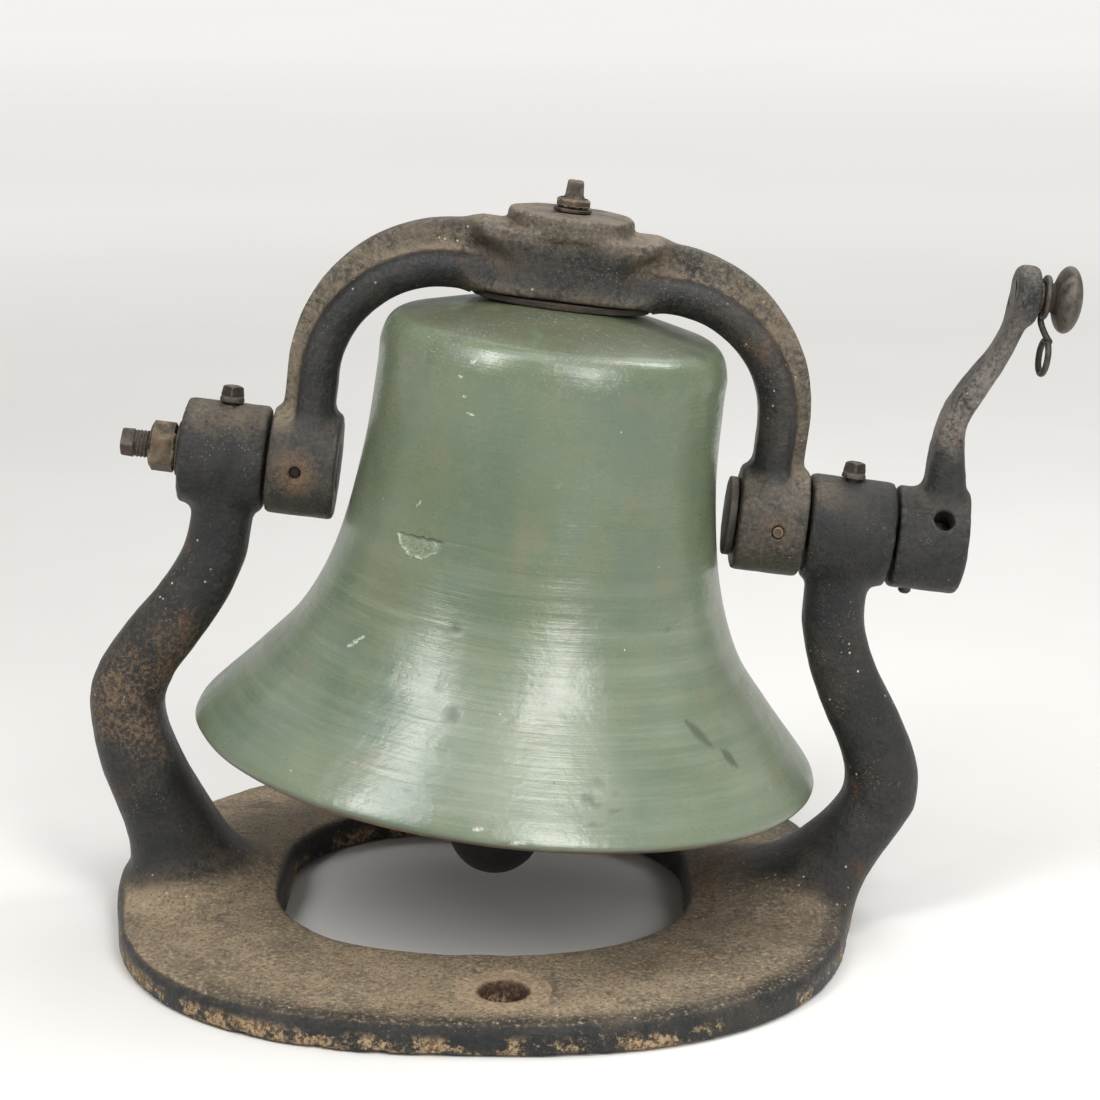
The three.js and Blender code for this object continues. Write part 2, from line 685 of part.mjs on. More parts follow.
function pullHook() {
  const ringR = KNOB.neckR + WIRE_R + GAP + 0.2;
  const gapMiddle = (CRANK_HEAD.outer + KNOB.inner) / 2;
  const turns = 14;
  const ring = Array.from({ length: turns + 1 }, (_, i) => {
    const angle = -Math.PI / 2 + 0.25 + (2 * Math.PI - 0.5) * (i / turns);
    const x = gapMiddle - 0.25;
    return new THREE.Vector3(x, -ringR * Math.cos(angle), KNOB.h + ringR * Math.sin(angle));
  });
  const shank = [
    [gapMiddle - 0.2, 0.4, KNOB.h - ringR - 3],
    [gapMiddle + 2.4, 0, KNOB.h - 17],
    [gapMiddle + 5.4, 0, KNOB.h - 20.5],
  ];
  const eye = { top: KNOB.h - 20, bottom: KNOB.h - 36, half: 4.8, x: gapMiddle + 3.6 };
  const eyePoints = Array.from({ length: 9 }, (_, i) => {
    const angle = Math.PI / 2 - (2 * Math.PI * i) / 10;
    const h = (eye.top + eye.bottom) / 2 + ((eye.top - eye.bottom) / 2) * Math.sin(angle);
    return new THREE.Vector3(eye.x - 1.4 * Math.cos(angle), eye.half * Math.cos(angle), h);
  });
  const wire = (points, steps) => {
    const section = new THREE.Shape().absarc(0, 0, WIRE_R, 0, 2 * Math.PI);
    const path = new HookWire(points);
    const options = { steps, extrudePath: path, curveSegments: 4, bevelEnabled: false };
    return solid(new THREE.ExtrudeGeometry(section, options));
  };
  const shankPoints = [ring.at(-1).clone(), ...shank.map((p) => new THREE.Vector3(...p))];
  return join(wire(ring, 16), wire(shankPoints, 6), wire(eyePoints, 12));
}

// ---- Centre bolt and clapper -----------------------------------------------------------

const INNER_CROWN_H = CROWN_H - CROWN_THICKNESS;
const INNER_WASHER = { from: INNER_CROWN_H - 4.5, to: INNER_CROWN_H - 1.5, radius: 18 };
const TOP_WASHER = { from: YOKE_DISC.top + GAP, to: YOKE_DISC.top + 1.8, radius: 9 };
const TOP_NUT = { top: 352.8, boltTop: 361 };

// The bolt that hangs the bell on the yoke. Its lower end is the fork that carries the clapper.
function centreBolt() {
  const shank = plainRod(BOLT_R, INNER_WASHER.from - 6, TOP_NUT.top + 0.6, { sides: 28 });
  const tip = squareTip(8.8, 7.4, TOP_NUT.top, TOP_NUT.boltTop);
  const forkTop = INNER_WASHER.from - GAP;
  const { halfX, halfY, bottom, slotHalf, slotTop } = CLEVIS;
  const fork = block([-halfX, halfX], [-halfY, halfY], [bottom, forkTop]);
  const slot = block([-slotHalf, slotHalf], [-20, 20], [bottom - 5, slotTop]);
  const pinHole = plainRod(CLAPPER_PIN_R + GAP, -20, 20, clapperAxis(20));
  return cut(join(shank, tip, fork), slot, pinHole);
}

const clapperAxis = (sides) => ({ axis: "x", sides, at: [0, 0, CLAPPER_PIVOT_H] });

function boltWasher({ radius, from, to }) {
  const hole = plainRod(BOLT_R + GAP, from - 2, to + 2, { sides: 20 });
  return plainRod(radius, from, to).subtract(hole);
}

const centreNut = () =>
  prism(6, 15.6, TOP_WASHER.to + GAP, TOP_NUT.top, { chamfer: 1.2 }).subtract(
    plainRod(BOLT_R + GAP, 340, 360, { sides: 28 }),
  );

// The clapper's hinge pin, with a head at one end and a riveted-over collar at the other.
function clapperPin() {
  const end = CLEVIS.halfX + GAP;
  return turned(
    [
      [0, -end - 2.5],
      [5, -end - 2.2],
      [5.4, -end],
      [CLAPPER_PIN_R, -end],
      [CLAPPER_PIN_R, end + 3.4],
      [CLAPPER_PIN_R - 0.6, end + 4],
      [0, end + 4],
    ],
    clapperAxis(20),
  );
}

const clapperPinCollar = () => {
  const from = CLEVIS.halfX + 2 * GAP;
  const collar = plainRod(6, from, from + 2.2, clapperAxis(20));
  return collar.subtract(plainRod(CLAPPER_PIN_R + GAP, 0, 30, clapperAxis(20)));
};

function clapper() {
  const eye = roundedRod(8.6, -4.1, 4.1, 0.8, clapperAxis(28));
  const { radius, h } = CLAPPER_BALL;
  const below = (distance) => CLAPPER_PIVOT_H - distance;
  const ball = Array.from({ length: 8 }, (_, i) => {
    const angle = -Math.PI / 2 + ((Math.PI - 0.36) * (i + 1)) / 8;
    return [radius * Math.cos(angle), h + radius * Math.sin(angle)];
  });
  const rod = turned(
    [
      [0, h - radius],
      ...ball,
      [7, h + radius + 4],
      [4.8, below(40)],
      [3.9, below(22)],
      [3.9, below(4)],
      [0, below(4)],
    ],
    { sides: 20 },
  );
  return join(eye, rod).subtract(plainRod(CLAPPER_PIN_R + GAP, -20, 20, clapperAxis(20)));
}

// ---- Assembly --------------------------------------------------------------------------

const whole = new THREE.Group();
whole.position.x = RING_CENTRE_X;
whole.add(named("cradle", cradle(), castIron));

const leaningParts = new THREE.Group();
leaningParts.rotation.y = LEAN;
whole.add(leaningParts);

leaningParts.add(
  named("left_bearing_bush", bearingBush(-1), bushBronze),
  named("right_bearing_bush", bearingBush(1), bushBronze),
  named("left_oil_plug", oilPlug(-1), darkSteel),
  named("right_oil_plug", oilPlug(1), darkSteel),
  named("bell", bell(), greenBronze),
  named("crown_gasket", gasket(), leather),
  named("yoke", yoke(), castIron),
  named("left_trunnion_pin", leftTrunnionPin(), darkSteel),
  named("left_trunnion_washer", leftTrunnionWasher(), darkSteel),
  named("left_trunnion_nut", leftTrunnionNut(), rustySteel),
  named("left_yoke_cross_pin", yokePinRod(-1, YOKE_PIN.radius, 21.5), rustySteel),
  named("right_yoke_cross_pin", yokePinRod(1, YOKE_PIN.radius, 24.8), rustySteel),
  named("crank_shaft", crankShaft(), darkSteel),
  named("crank_arm", crankArm(), castIron),
  named("crank_set_screw", crankSetScrew(), darkSteel),
  named("crank_knob", crankKnob(), castIron),
  named("pull_hook", pullHook(), darkSteel),
  named("centre_bolt", centreBolt(), darkSteel),
  named("centre_bolt_washer", boltWasher(TOP_WASHER), darkSteel),
  named("centre_bolt_nut", centreNut(), rustySteel),
  named("inner_crown_washer", boltWasher(INNER_WASHER), darkSteel),
  named("clapper_pin", clapperPin(), darkSteel),
  named("clapper_pin_collar", clapperPinCollar(), darkSteel),
  named("clapper", clapper(), castIron),
);

export default whole;
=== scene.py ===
"""Looks of a swinging bronze bell, painted green, in a cast-iron yoke and cradle.

The castings are modelled as signed distances on blocks of voxels, so that their joins are filleted
like real ones, and skinned with quads. The bell, pins, nuts and plugs are turned shapes. Sizes are
in millimetres in two frames: upright, from the middle of the foot ring's underside, and leaning,
the same turned so that x lies along the trunnion axis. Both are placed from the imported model.
"""

import json
import math

import bpy
import numpy as np
import openvdb as vdb
from mathutils import Matrix, Vector


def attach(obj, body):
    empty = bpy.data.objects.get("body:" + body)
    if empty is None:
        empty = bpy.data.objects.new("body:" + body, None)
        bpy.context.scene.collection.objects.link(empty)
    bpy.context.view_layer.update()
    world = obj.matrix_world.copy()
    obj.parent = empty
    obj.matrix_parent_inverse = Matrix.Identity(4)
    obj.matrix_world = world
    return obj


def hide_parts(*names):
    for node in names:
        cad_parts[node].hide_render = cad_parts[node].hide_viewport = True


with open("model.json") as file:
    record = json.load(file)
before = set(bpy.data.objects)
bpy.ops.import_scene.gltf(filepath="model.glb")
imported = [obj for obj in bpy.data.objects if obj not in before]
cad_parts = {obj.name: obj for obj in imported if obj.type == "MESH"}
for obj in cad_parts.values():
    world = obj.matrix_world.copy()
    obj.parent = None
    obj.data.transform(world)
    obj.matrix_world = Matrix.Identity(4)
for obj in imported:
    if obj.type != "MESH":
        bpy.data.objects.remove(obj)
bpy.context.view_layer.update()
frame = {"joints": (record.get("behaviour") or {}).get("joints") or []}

# ---- Frames ------------------------------------------------------------------------------

swing = next(joint for joint in frame["joints"] if joint["name"] == "bell_swing")
LEAN = math.atan2(-swing["axis"][2], swing["axis"][0])
AXIS_H = 1000 * swing["pos_m"][2] / math.cos(LEAN)  # trunnion axis above the ground
RING_X = swing["pos_m"][0] - 0.001 * AXIS_H * math.sin(LEAN)
UPRIGHT = Matrix.Translation((RING_X, 0, 0)) @ Matrix.Scale(0.001, 4)
LEANING = (
    Matrix.Translation((RING_X, 0, 0)) @ Matrix.Rotation(LEAN, 4, "Y") @ Matrix.Scale(0.001, 4)
)
GAP = 0.3  # between neighbouring pieces


def mirrored(side, span):
    """The lower and higher end of a span on the right, or of the same on the left."""
    return sorted(side * end for end in span)


# ---- Shape helpers -----------------------------------------------------------------------


def smoothstep(low, high, x):
    t = np.clip((x - low) / (high - low), 0, 1)
    return t * t * (3 - 2 * t)


def bump(distance, width):
    """1 at distance 0, falling smoothly to 0 at width."""
    return 1 - smoothstep(0, width, np.abs(distance))


def spline(p0, p1, p2, p3, w):
    """The smooth curve from p1 to p2, at shares w of the way."""
    v0, v1 = (p2 - p0) / 2, (p3 - p1) / 2
    return (2 * p1 - 2 * p2 + v0 + v1) * w**3 + (3 * p2 - 3 * p1 - 2 * v0 - v1) * w**2 + v0 * w + p1


def through(points, count):
    """A smooth curve through points, the same share of the count for each span."""
    p = np.array(points, float)
    n = len(p)
    at = np.linspace(0, n - 1, count)
    i = np.minimum(at.astype(int), n - 2)
    w = (at - i)[:, None]
    return spline(*(p[np.clip(i + k, 0, n - 1)] for k in (-1, 0, 1, 2)), w)


def closed_through(points, steps):
    """A smooth closed outline through points."""
    p = np.array(points, float)
    w = np.linspace(0, 1, steps, endpoint=False)[None, :, None]
    curve = spline(*(np.roll(p, -k, 0)[:, None] for k in (-1, 0, 1, 2)), w)
    return curve.reshape(-1, p.shape[1])


def rounded(corners, radius, steps=4, closed=False):
    """A profile with its corners rounded off; the ends of an open one stay."""
    p = np.array(corners, float)
    n = len(p)
    out = []
    for i in range(n):
        if not closed and i in (0, n - 1):
            out.append(p[i])
            continue
        before, after = p[i - 1] - p[i], p[(i + 1) % n] - p[i]
        reach = [min(radius, 0.42 * np.linalg.norm(side)) for side in (before, after)]
        start, end = (
            p[i] + side / max(np.linalg.norm(side), 1e-9) * r
            for side, r in zip((before, after), reach)
        )
        out.append(start + (start - p[i]) * 0.12)
        for t in np.linspace(0, 1, steps + 1):
            out.append((1 - t) ** 2 * start + 2 * t * (1 - t) * p[i] + t * t * end)
        out.append(end + (end - p[i]) * 0.12)
    return np.array(out)


def wobble(points, size, seed):
    """Smooth noise from about -1 to 1 at points, with lumps of a given size."""
    rng = np.random.default_rng(seed)
    total = np.zeros(len(points))
    waves = 9
    for _ in range(waves):
        direction = rng.normal(size=3)
        direction *= rng.uniform(0.7, 1.5) * math.pi / size / np.linalg.norm(direction)
        total += np.sin(points @ direction + rng.uniform(0, 2 * math.pi))
    return total / 3.2


def as_quads(faces):
    """The faces as quads; a triangle has its last corner twice."""
    return np.array([f if len(f) == 4 else [*f, f[2]] for f in faces])


def fans(faces):
    """Triangles that cover the faces."""
    quads = as_quads(faces)
    return np.concatenate([quads[:, [0, 1, 2]], quads[:, [0, 2, 3]]])


def outward(points, faces):
    """The faces, turned so that they face out of the solid."""
    a, b, c = (points[fans(faces)[:, k]] for k in range(3))
    if np.einsum("ij,ij->i", a, np.cross(b, c)).sum() < 0:
        faces = [face[::-1] for face in faces]
    return faces


def normals_of(points, faces):
    triangles = fans(faces)
    a, b, c = (points[triangles[:, k]] for k in range(3))
    face = np.cross(b - a, c - a)
    total = np.zeros_like(points)
    for k in range(3):
        for axis in range(3):
            total[:, axis] += np.bincount(triangles[:, k], face[:, axis], len(points))
    return total / np.maximum(np.linalg.norm(total, axis=1, keepdims=True), 1e-12)


def neighbour_mean(values, faces, passes=1):
    """Each vertex's value as the mean of its neighbours'."""
    quads = as_quads(faces)
    a = quads.ravel()
    b = np.roll(quads, -1, 1).ravel()
    both = np.concatenate([a, b]), np.concatenate([b, a])
    count = np.maximum(np.bincount(both[0], minlength=len(values)), 1)
    for _ in range(passes):
        columns = values.reshape(len(values), -1)
        columns = np.stack(
            [np.bincount(both[0], column[both[1]], len(values)) / count for column in columns.T], 1
        )
        values = columns.reshape(values.shape)
    return values


def bend(points, faces, spacing, passes):
    """How much the surface bends at each vertex, in 1/mm: above 0 on edges, below 0 in hollows."""
    normal = normals_of(points, faces)
    pull = neighbour_mean(points, faces) - points
    raw = -2 * np.einsum("ij,ij->i", pull, normal) / spacing**2
    return neighbour_mean(raw, faces, passes)


def piece(node, points, faces, place, body, material, marks=None):
    """A detailed mesh that stands for a CAD node and moves with its body."""
    mesh = bpy.data.meshes.new(node + "_look")
    mesh.from_pydata(points.tolist(), [], [list(map(int, face)) for face in faces])
    mesh.transform(place)
    mesh.update()
    mesh.shade_smooth()
    for name, values in (marks or {}).items():
        attribute = mesh.attributes.new(name, "FLOAT", "POINT")
        attribute.data.foreach_set("value", np.asarray(values, np.float32))
    mesh.materials.append(material)
    made = bpy.data.objects.new(node + "_look", mesh)
    bpy.context.scene.collection.objects.link(made)
    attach(made, body)
    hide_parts(node)


# ---- Turned shapes -----------------------------------------------------------------------


def lathe(profile, sides, shape=None, closed=False):
    """Points and faces of a profile of (radius, distance along the axis), turned round."""
    rows = np.array(profile, float)
    if closed:
        rows = rows[: len(rows) - (np.abs(rows[0] - rows[-1]).max() < 1e-9)]
    angle = np.linspace(0, 2 * math.pi, sides, endpoint=False) if np.isscalar(sides) else sides
    radius = rows[:, :1] + 0 * angle
    along = rows[:, 1:] + 0 * angle
    if shape:
        radius = np.where(radius > 0, shape(radius, angle[None], along), 0)
    points = np.stack([radius * np.sin(angle), -radius * np.cos(angle), along], -1)
    count = len(rows)
    index = np.arange(count * len(angle)).reshape(count, -1)
    for end in (0, -1):
        if radius[end].max() < 1e-6:
            index[end] = index[end, 0]
    first = index if closed else index[:-1]
    second = np.roll(index, -1, 0) if closed else index[1:]
    quads = np.stack([first, np.roll(first, -1, 1), np.roll(second, -1, 1), second], -1)
    used, packed = np.unique(quads, return_inverse=True)
    packed = packed.reshape(-1, 4)
    faces = [list(dict.fromkeys(face)) for face in packed.tolist()]
    points = points.reshape(-1, 3)[used]
    return points, outward(points, faces)


def flats(corners, across, taper=None):
    """A limit for lathe(): a prism with a regular outline and slightly rounded corners.

    taper gives distances along the axis, and how wide it is across its flats at each.
    """

    def shape(radius, angle, along):
        width = across if taper is None else np.interp(along, *taper)
        sharpness = 26
        total = 0
        for k in range(corners):
            turn = 2 * math.pi * (k + 0.5) / corners
            total = total + np.maximum(np.cos(angle - turn), 0) ** sharpness
        return np.minimum(radius, width / 2 * total ** (-1 / sharpness))

    return shape


def turned(
    node, profile, body, slot, material, axis="z", at=(0, 0, 0), sides=96, shape=None,
    closed=False, wear=0.06, lumps=5,
):
    """A turned piece, worn a little, with marks on its edges and in its hollows."""
    points, faces = lathe(profile, sides, shape, closed)
    order = {"x": [2, 0, 1], "y": [1, 2, 0], "z": [0, 1, 2]}[axis]
    points = points[:, order] + np.array(at)
    normal = normals_of(points, faces)
    turn = -np.einsum("ij,ij->i", neighbour_mean(normal, faces) - normal, normal)
    out = -np.einsum("ij,ij->i", neighbour_mean(points, faces) - points, normal)
    sharp = smoothstep(0.003, 0.05, turn)
    edge = neighbour_mean(sharp * (out > 0), faces, 2)
    hollow = neighbour_mean(sharp * (out < 0), faces, 3)
    points = points - normal * (wear * (0.5 + 0.5 * wobble(points, lumps, len(node))))[:, None]
    marks = {"edge": edge, "hollow": np.minimum(1, 1.6 * hollow)}
    piece(node, points, faces, LEANING, body, material, marks)


# ---- Castings ----------------------------------------------------------------------------


def smooth_min(a, b, k):
    return np.minimum(a, b) - np.maximum(k - np.abs(a - b), 0) ** 2 / (4 * k)


def smooth_max(a, b, k):
    return -smooth_min(-a, -b, k)


class Casting:
    """A solid as signed distances in mm on a block of voxels."""

    def __init__(self, low, high, voxel):
        margin, far = 3, 60
        self.voxel = voxel
        self.first = np.floor(np.array(low) / voxel).astype(int) - margin
        last = np.ceil(np.array(high) / voxel).astype(int) + margin
        self.shape = tuple(int(n) for n in last - self.first)
        axes = [
            ((np.arange(n) + f) * voxel).astype(np.float32)
            for n, f in zip(self.shape, self.first)
        ]
        self.x, self.y, self.z = np.meshgrid(*axes, indexing="ij", sparse=True)
        self.d = np.full(self.shape, far, np.float32)

    def join(self, other, fillet=0.0):
        self.d = smooth_min(self.d, other, fillet) if fillet else np.minimum(self.d, other)

    def cut(self, other, edge=0.0):
        self.d = smooth_max(self.d, -other, edge) if edge else np.maximum(self.d, -other)

    def rod(self, radius, low, high, axis="x", centre=(0, 0), edge=0.0, coords=None):
        """A rod along an axis; centre is its place along the other two axes."""
        x, y, z = coords or (self.x, self.y, self.z)
        along, p, q = {"x": (x, y, z), "y": (y, x, z), "z": (z, x, y)}[axis]
        side = np.hypot(p - centre[0], q - centre[1]) - radius
        ends = np.maximum(low - along, along - high)
        return smooth_max(side, ends, edge) if edge else np.maximum(side, ends)

    def axle(self, radius, span, edge=0.0, coords=None):
        """A rod along the trunnion axis."""
        return self.rod(radius, *span, "x", (0, AXIS_H), edge, coords)

    def loft(self, sections, reach):
        """The solid inside a skin through closed sections, with distances up to reach."""
        count = len(sections[0])
        points = np.concatenate(sections)
        index = np.arange(len(points)).reshape(-1, count)
        a, b = index[:-1], index[1:]
        quads = np.stack([a, np.roll(a, -1, 1), np.roll(b, -1, 1), b], -1).reshape(-1, 4)
        caps = []
        for row in (index[0], index[-1][::-1]):
            middle = len(points)
            points = np.concatenate([points, points[row].mean(0, keepdims=True)])
            caps += [[middle, row[(i + 1) % count], row[i]] for i in range(count)]
        grid = vdb.FloatGrid.createLevelSetFromPolygons(
            points.astype(np.float32),
            triangles=np.array(caps, np.uint32),
            quads=quads.astype(np.uint32),
            transform=vdb.createLinearTransform(voxelSize=self.voxel),
            halfWidth=max(3.0, reach / self.voxel),
        )
        field = np.full(self.shape, grid.background, np.float32)
        grid.copyToArray(field, ijk=tuple(int(n) for n in self.first))
        return field

    def rumble(self, size, seed):
        """Smooth noise from -1 to 1 on the block, with lumps of a given size in mm."""
        rng = np.random.default_rng(seed)
        counts = [int(n * self.voxel / size) + 3 for n in self.shape]
        field = rng.uniform(-1, 1, counts).astype(np.float32)
        for axis, n in enumerate(self.shape):
            at = np.arange(n) * self.voxel / size
            i = at.astype(int)
            w = (at - i).astype(np.float32)
            w = (w * w * (3 - 2 * w)).reshape([-1 if a == axis else 1 for a in range(3)])
            field = np.take(field, i, axis) * (1 - w) + np.take(field, i + 1, axis) * w
        return field

    def roughen(self, size, amount, seed):
        """Uneven like sand-cast iron, always inwards."""
        self.d += amount * (0.5 + 0.5 * self.rumble(size, seed))

    def skin(self):
        """Points and faces of the surface where the distance is 0."""
        limit = 4 * self.voxel
        grid = vdb.FloatGrid(limit)
        field = np.ascontiguousarray(np.clip(self.d, -limit, limit), np.float32)
        grid.copyFromArray(field, ijk=tuple(int(n) for n in self.first))
        grid.transform = vdb.createLinearTransform(voxelSize=self.voxel)
        points, quads = grid.convertToQuads(isovalue=0)
        points, faces = points.astype(float), quads.tolist()
        return points, outward(points, faces)


def cast(node, casting, place, body, material, marks=None):
    """A casting's skin, with marks on its edges and in its hollows."""
    points, faces = casting.skin()
    bent = bend(points, faces, casting.voxel, 3)
    wide = neighbour_mean(bent, faces, 10)
    all_marks = {
        "edge": smoothstep(0.05, 0.22, bent),
        "hollow": smoothstep(0.008, 0.05, -wide),
    }
    for name, paint in (marks or {}).items():
        all_marks[name] = paint(points)
    piece(node, points, faces, place, body, material, all_marks)


def oval(inner, outer, half_depth, power, count=48):
    """A section from inner to outer in the XZ plane, and half_depth each way in Y."""
    angle = np.linspace(0, 2 * math.pi, count, endpoint=False)
    c, s = np.cos(angle), np.sin(angle)
    across = np.sign(c) * np.abs(c) ** (2 / power)
    deep = np.sign(s) * np.abs(s) ** (2 / power)
    (x, z), (half_x, half_z) = (inner + outer) / 2, (outer - inner) / 2
    return np.stack([x + half_x * across, half_depth * deep, z + half_z * across], 1)


# ---- Materials ---------------------------------------------------------------------------


def srgb(red, green, blue):
    """A linear colour from sRGB values up to 255."""
    return [
        (v / 255 / 12.92) if v < 10 else ((v / 255 + 0.055) / 1.055) ** 2.4
        for v in (red, green, blue)
    ]


class Finish:
    """A procedural material, built up in layers of colour and roughness.

    Where a share is wanted, a tuple (value, low, high) stands for the span of that value. Where a
    colour is wanted, a tuple holds sRGB values up to 255.
    """

    def __init__(self, name, lean=False, **settings):
        self.material = bpy.data.materials.new(name)
        self.material.use_nodes = True
        self.tree = self.material.node_tree
        self.tree.nodes.clear()
        self.shader = self.node("BsdfPrincipled", **settings)
        self.tree.links.new(self.shader.outputs[0], self.node("OutputMaterial").inputs[0])
        coordinates = self.node("TexCoord").outputs
        self.place, self.normal = coordinates["Object"], coordinates["Normal"]
        if lean:
            back = (-RING_X * math.cos(-LEAN), 0, RING_X * math.sin(-LEAN))
            turn = {"Rotation": (0, -LEAN, 0)}
            self.place = self.node("Mapping", Vector=self.place, Location=back, **turn).outputs[0]
            self.normal = self.node("Mapping", Vector=self.normal, **turn).outputs[0]
        self.colour = None
        self.rough = None

    def node(self, kind, **values):
        """A new node; an underscore in an input's name stands for a space."""
        made = self.tree.nodes.new("ShaderNode" + kind)
        for name, value in values.items():
            self.plug(made.inputs[name.replace("_", " ")], value)
        return made

    def plug(self, socket, value):
        if isinstance(value, bpy.types.NodeSocket):
            self.tree.links.new(value, socket)
        elif isinstance(value, list) and len(value) < len(socket.default_value):
            socket.default_value = (*value, 1)
        else:
            socket.default_value = value

    def noise(self, scale, detail=4.0, rough=0.55, at=None, twist=0.0):
        """Cloudy noise; at is how far it is stretched each way."""
        place = self.node("Mapping", Vector=self.place, Scale=at).outputs[0] if at else self.place
        made = self.node("TexNoise", Vector=place, Scale=scale, Detail=detail, Roughness=rough)
        self.plug(made.inputs["Distortion"], twist)
        return made.outputs["Fac"]

    def cells(self, scale):
        return self.node("TexVoronoi", Vector=self.place, Scale=scale).outputs["Distance"]

    def maths(self, operation, a, b):
        node = self.node("Math")
        node.operation = operation
        self.plug(node.inputs[0], a)
        self.plug(node.inputs[1], b)
        return node.outputs[0]

    def times(self, *values):
        total, *others = [self.span(*v) if isinstance(v, tuple) else v for v in values]
        for value in others:
            total = self.maths("MULTIPLY", total, value)
        return total

    def plus(self, a, b):
        return self.maths("ADD", a, b)

    def weigh(self, a, share_a, b, share_b):
        return self.plus(self.times(a, share_a), self.times(b, share_b))

    def span(self, value, low, high, start=0.0, end=1.0):
        """value from low to high becomes start to end, smoothly, and no more."""
        ends = {"From_Min": low, "From_Max": high, "To_Min": start, "To_Max": end}
        node = self.node("MapRange", Value=value, **ends)
        node.interpolation_type = "SMOOTHSTEP"
        return node.outputs[0]

    def mark(self, name):
        node = self.node("Attribute")
        node.attribute_name = name
        return node.outputs["Fac"]

    def part(self, vector, axis):
        return self.node("SeparateXYZ", Vector=vector).outputs["XYZ".index(axis)]

    def blend(self, share, a, b):
        """A colour that goes from a to b."""
        node = self.node("Mix")
        node.data_type = "RGBA"
        self.plug(node.inputs[0], self.times(share))
        for index, colour in ((6, a), (7, b)):
            self.plug(node.inputs[index], srgb(*colour) if isinstance(colour, tuple) else colour)
        return node.outputs[2]

    def layer(self, colour, rough, *shares):
        """Covers a share of what is there with a colour and, unless it is None, a roughness."""
        share = self.times(*shares)
        self.colour = self.blend(share, self.colour, colour)
        if rough is not None:
            node = self.node("Mix")
            for index, value in ((0, share), (2, self.rough), (3, rough)):
                self.plug(node.inputs[index], value)
            self.rough = node.outputs[0]

    def finish(self, *reliefs):
        """reliefs are pairs of a height from 0 to 1 and its depth in metres."""
        self.plug(self.shader.inputs["Base Color"], self.colour)
        self.plug(self.shader.inputs["Roughness"], self.rough)
        surface = {}
        for height, depth in reliefs:
            bumps = self.node("Bump", Strength=1.0, Distance=depth, Height=height, **surface)
            surface = {"Normal": bumps.outputs[0]}
        self.plug(self.shader.inputs["Normal"], surface["Normal"])
        return self.material


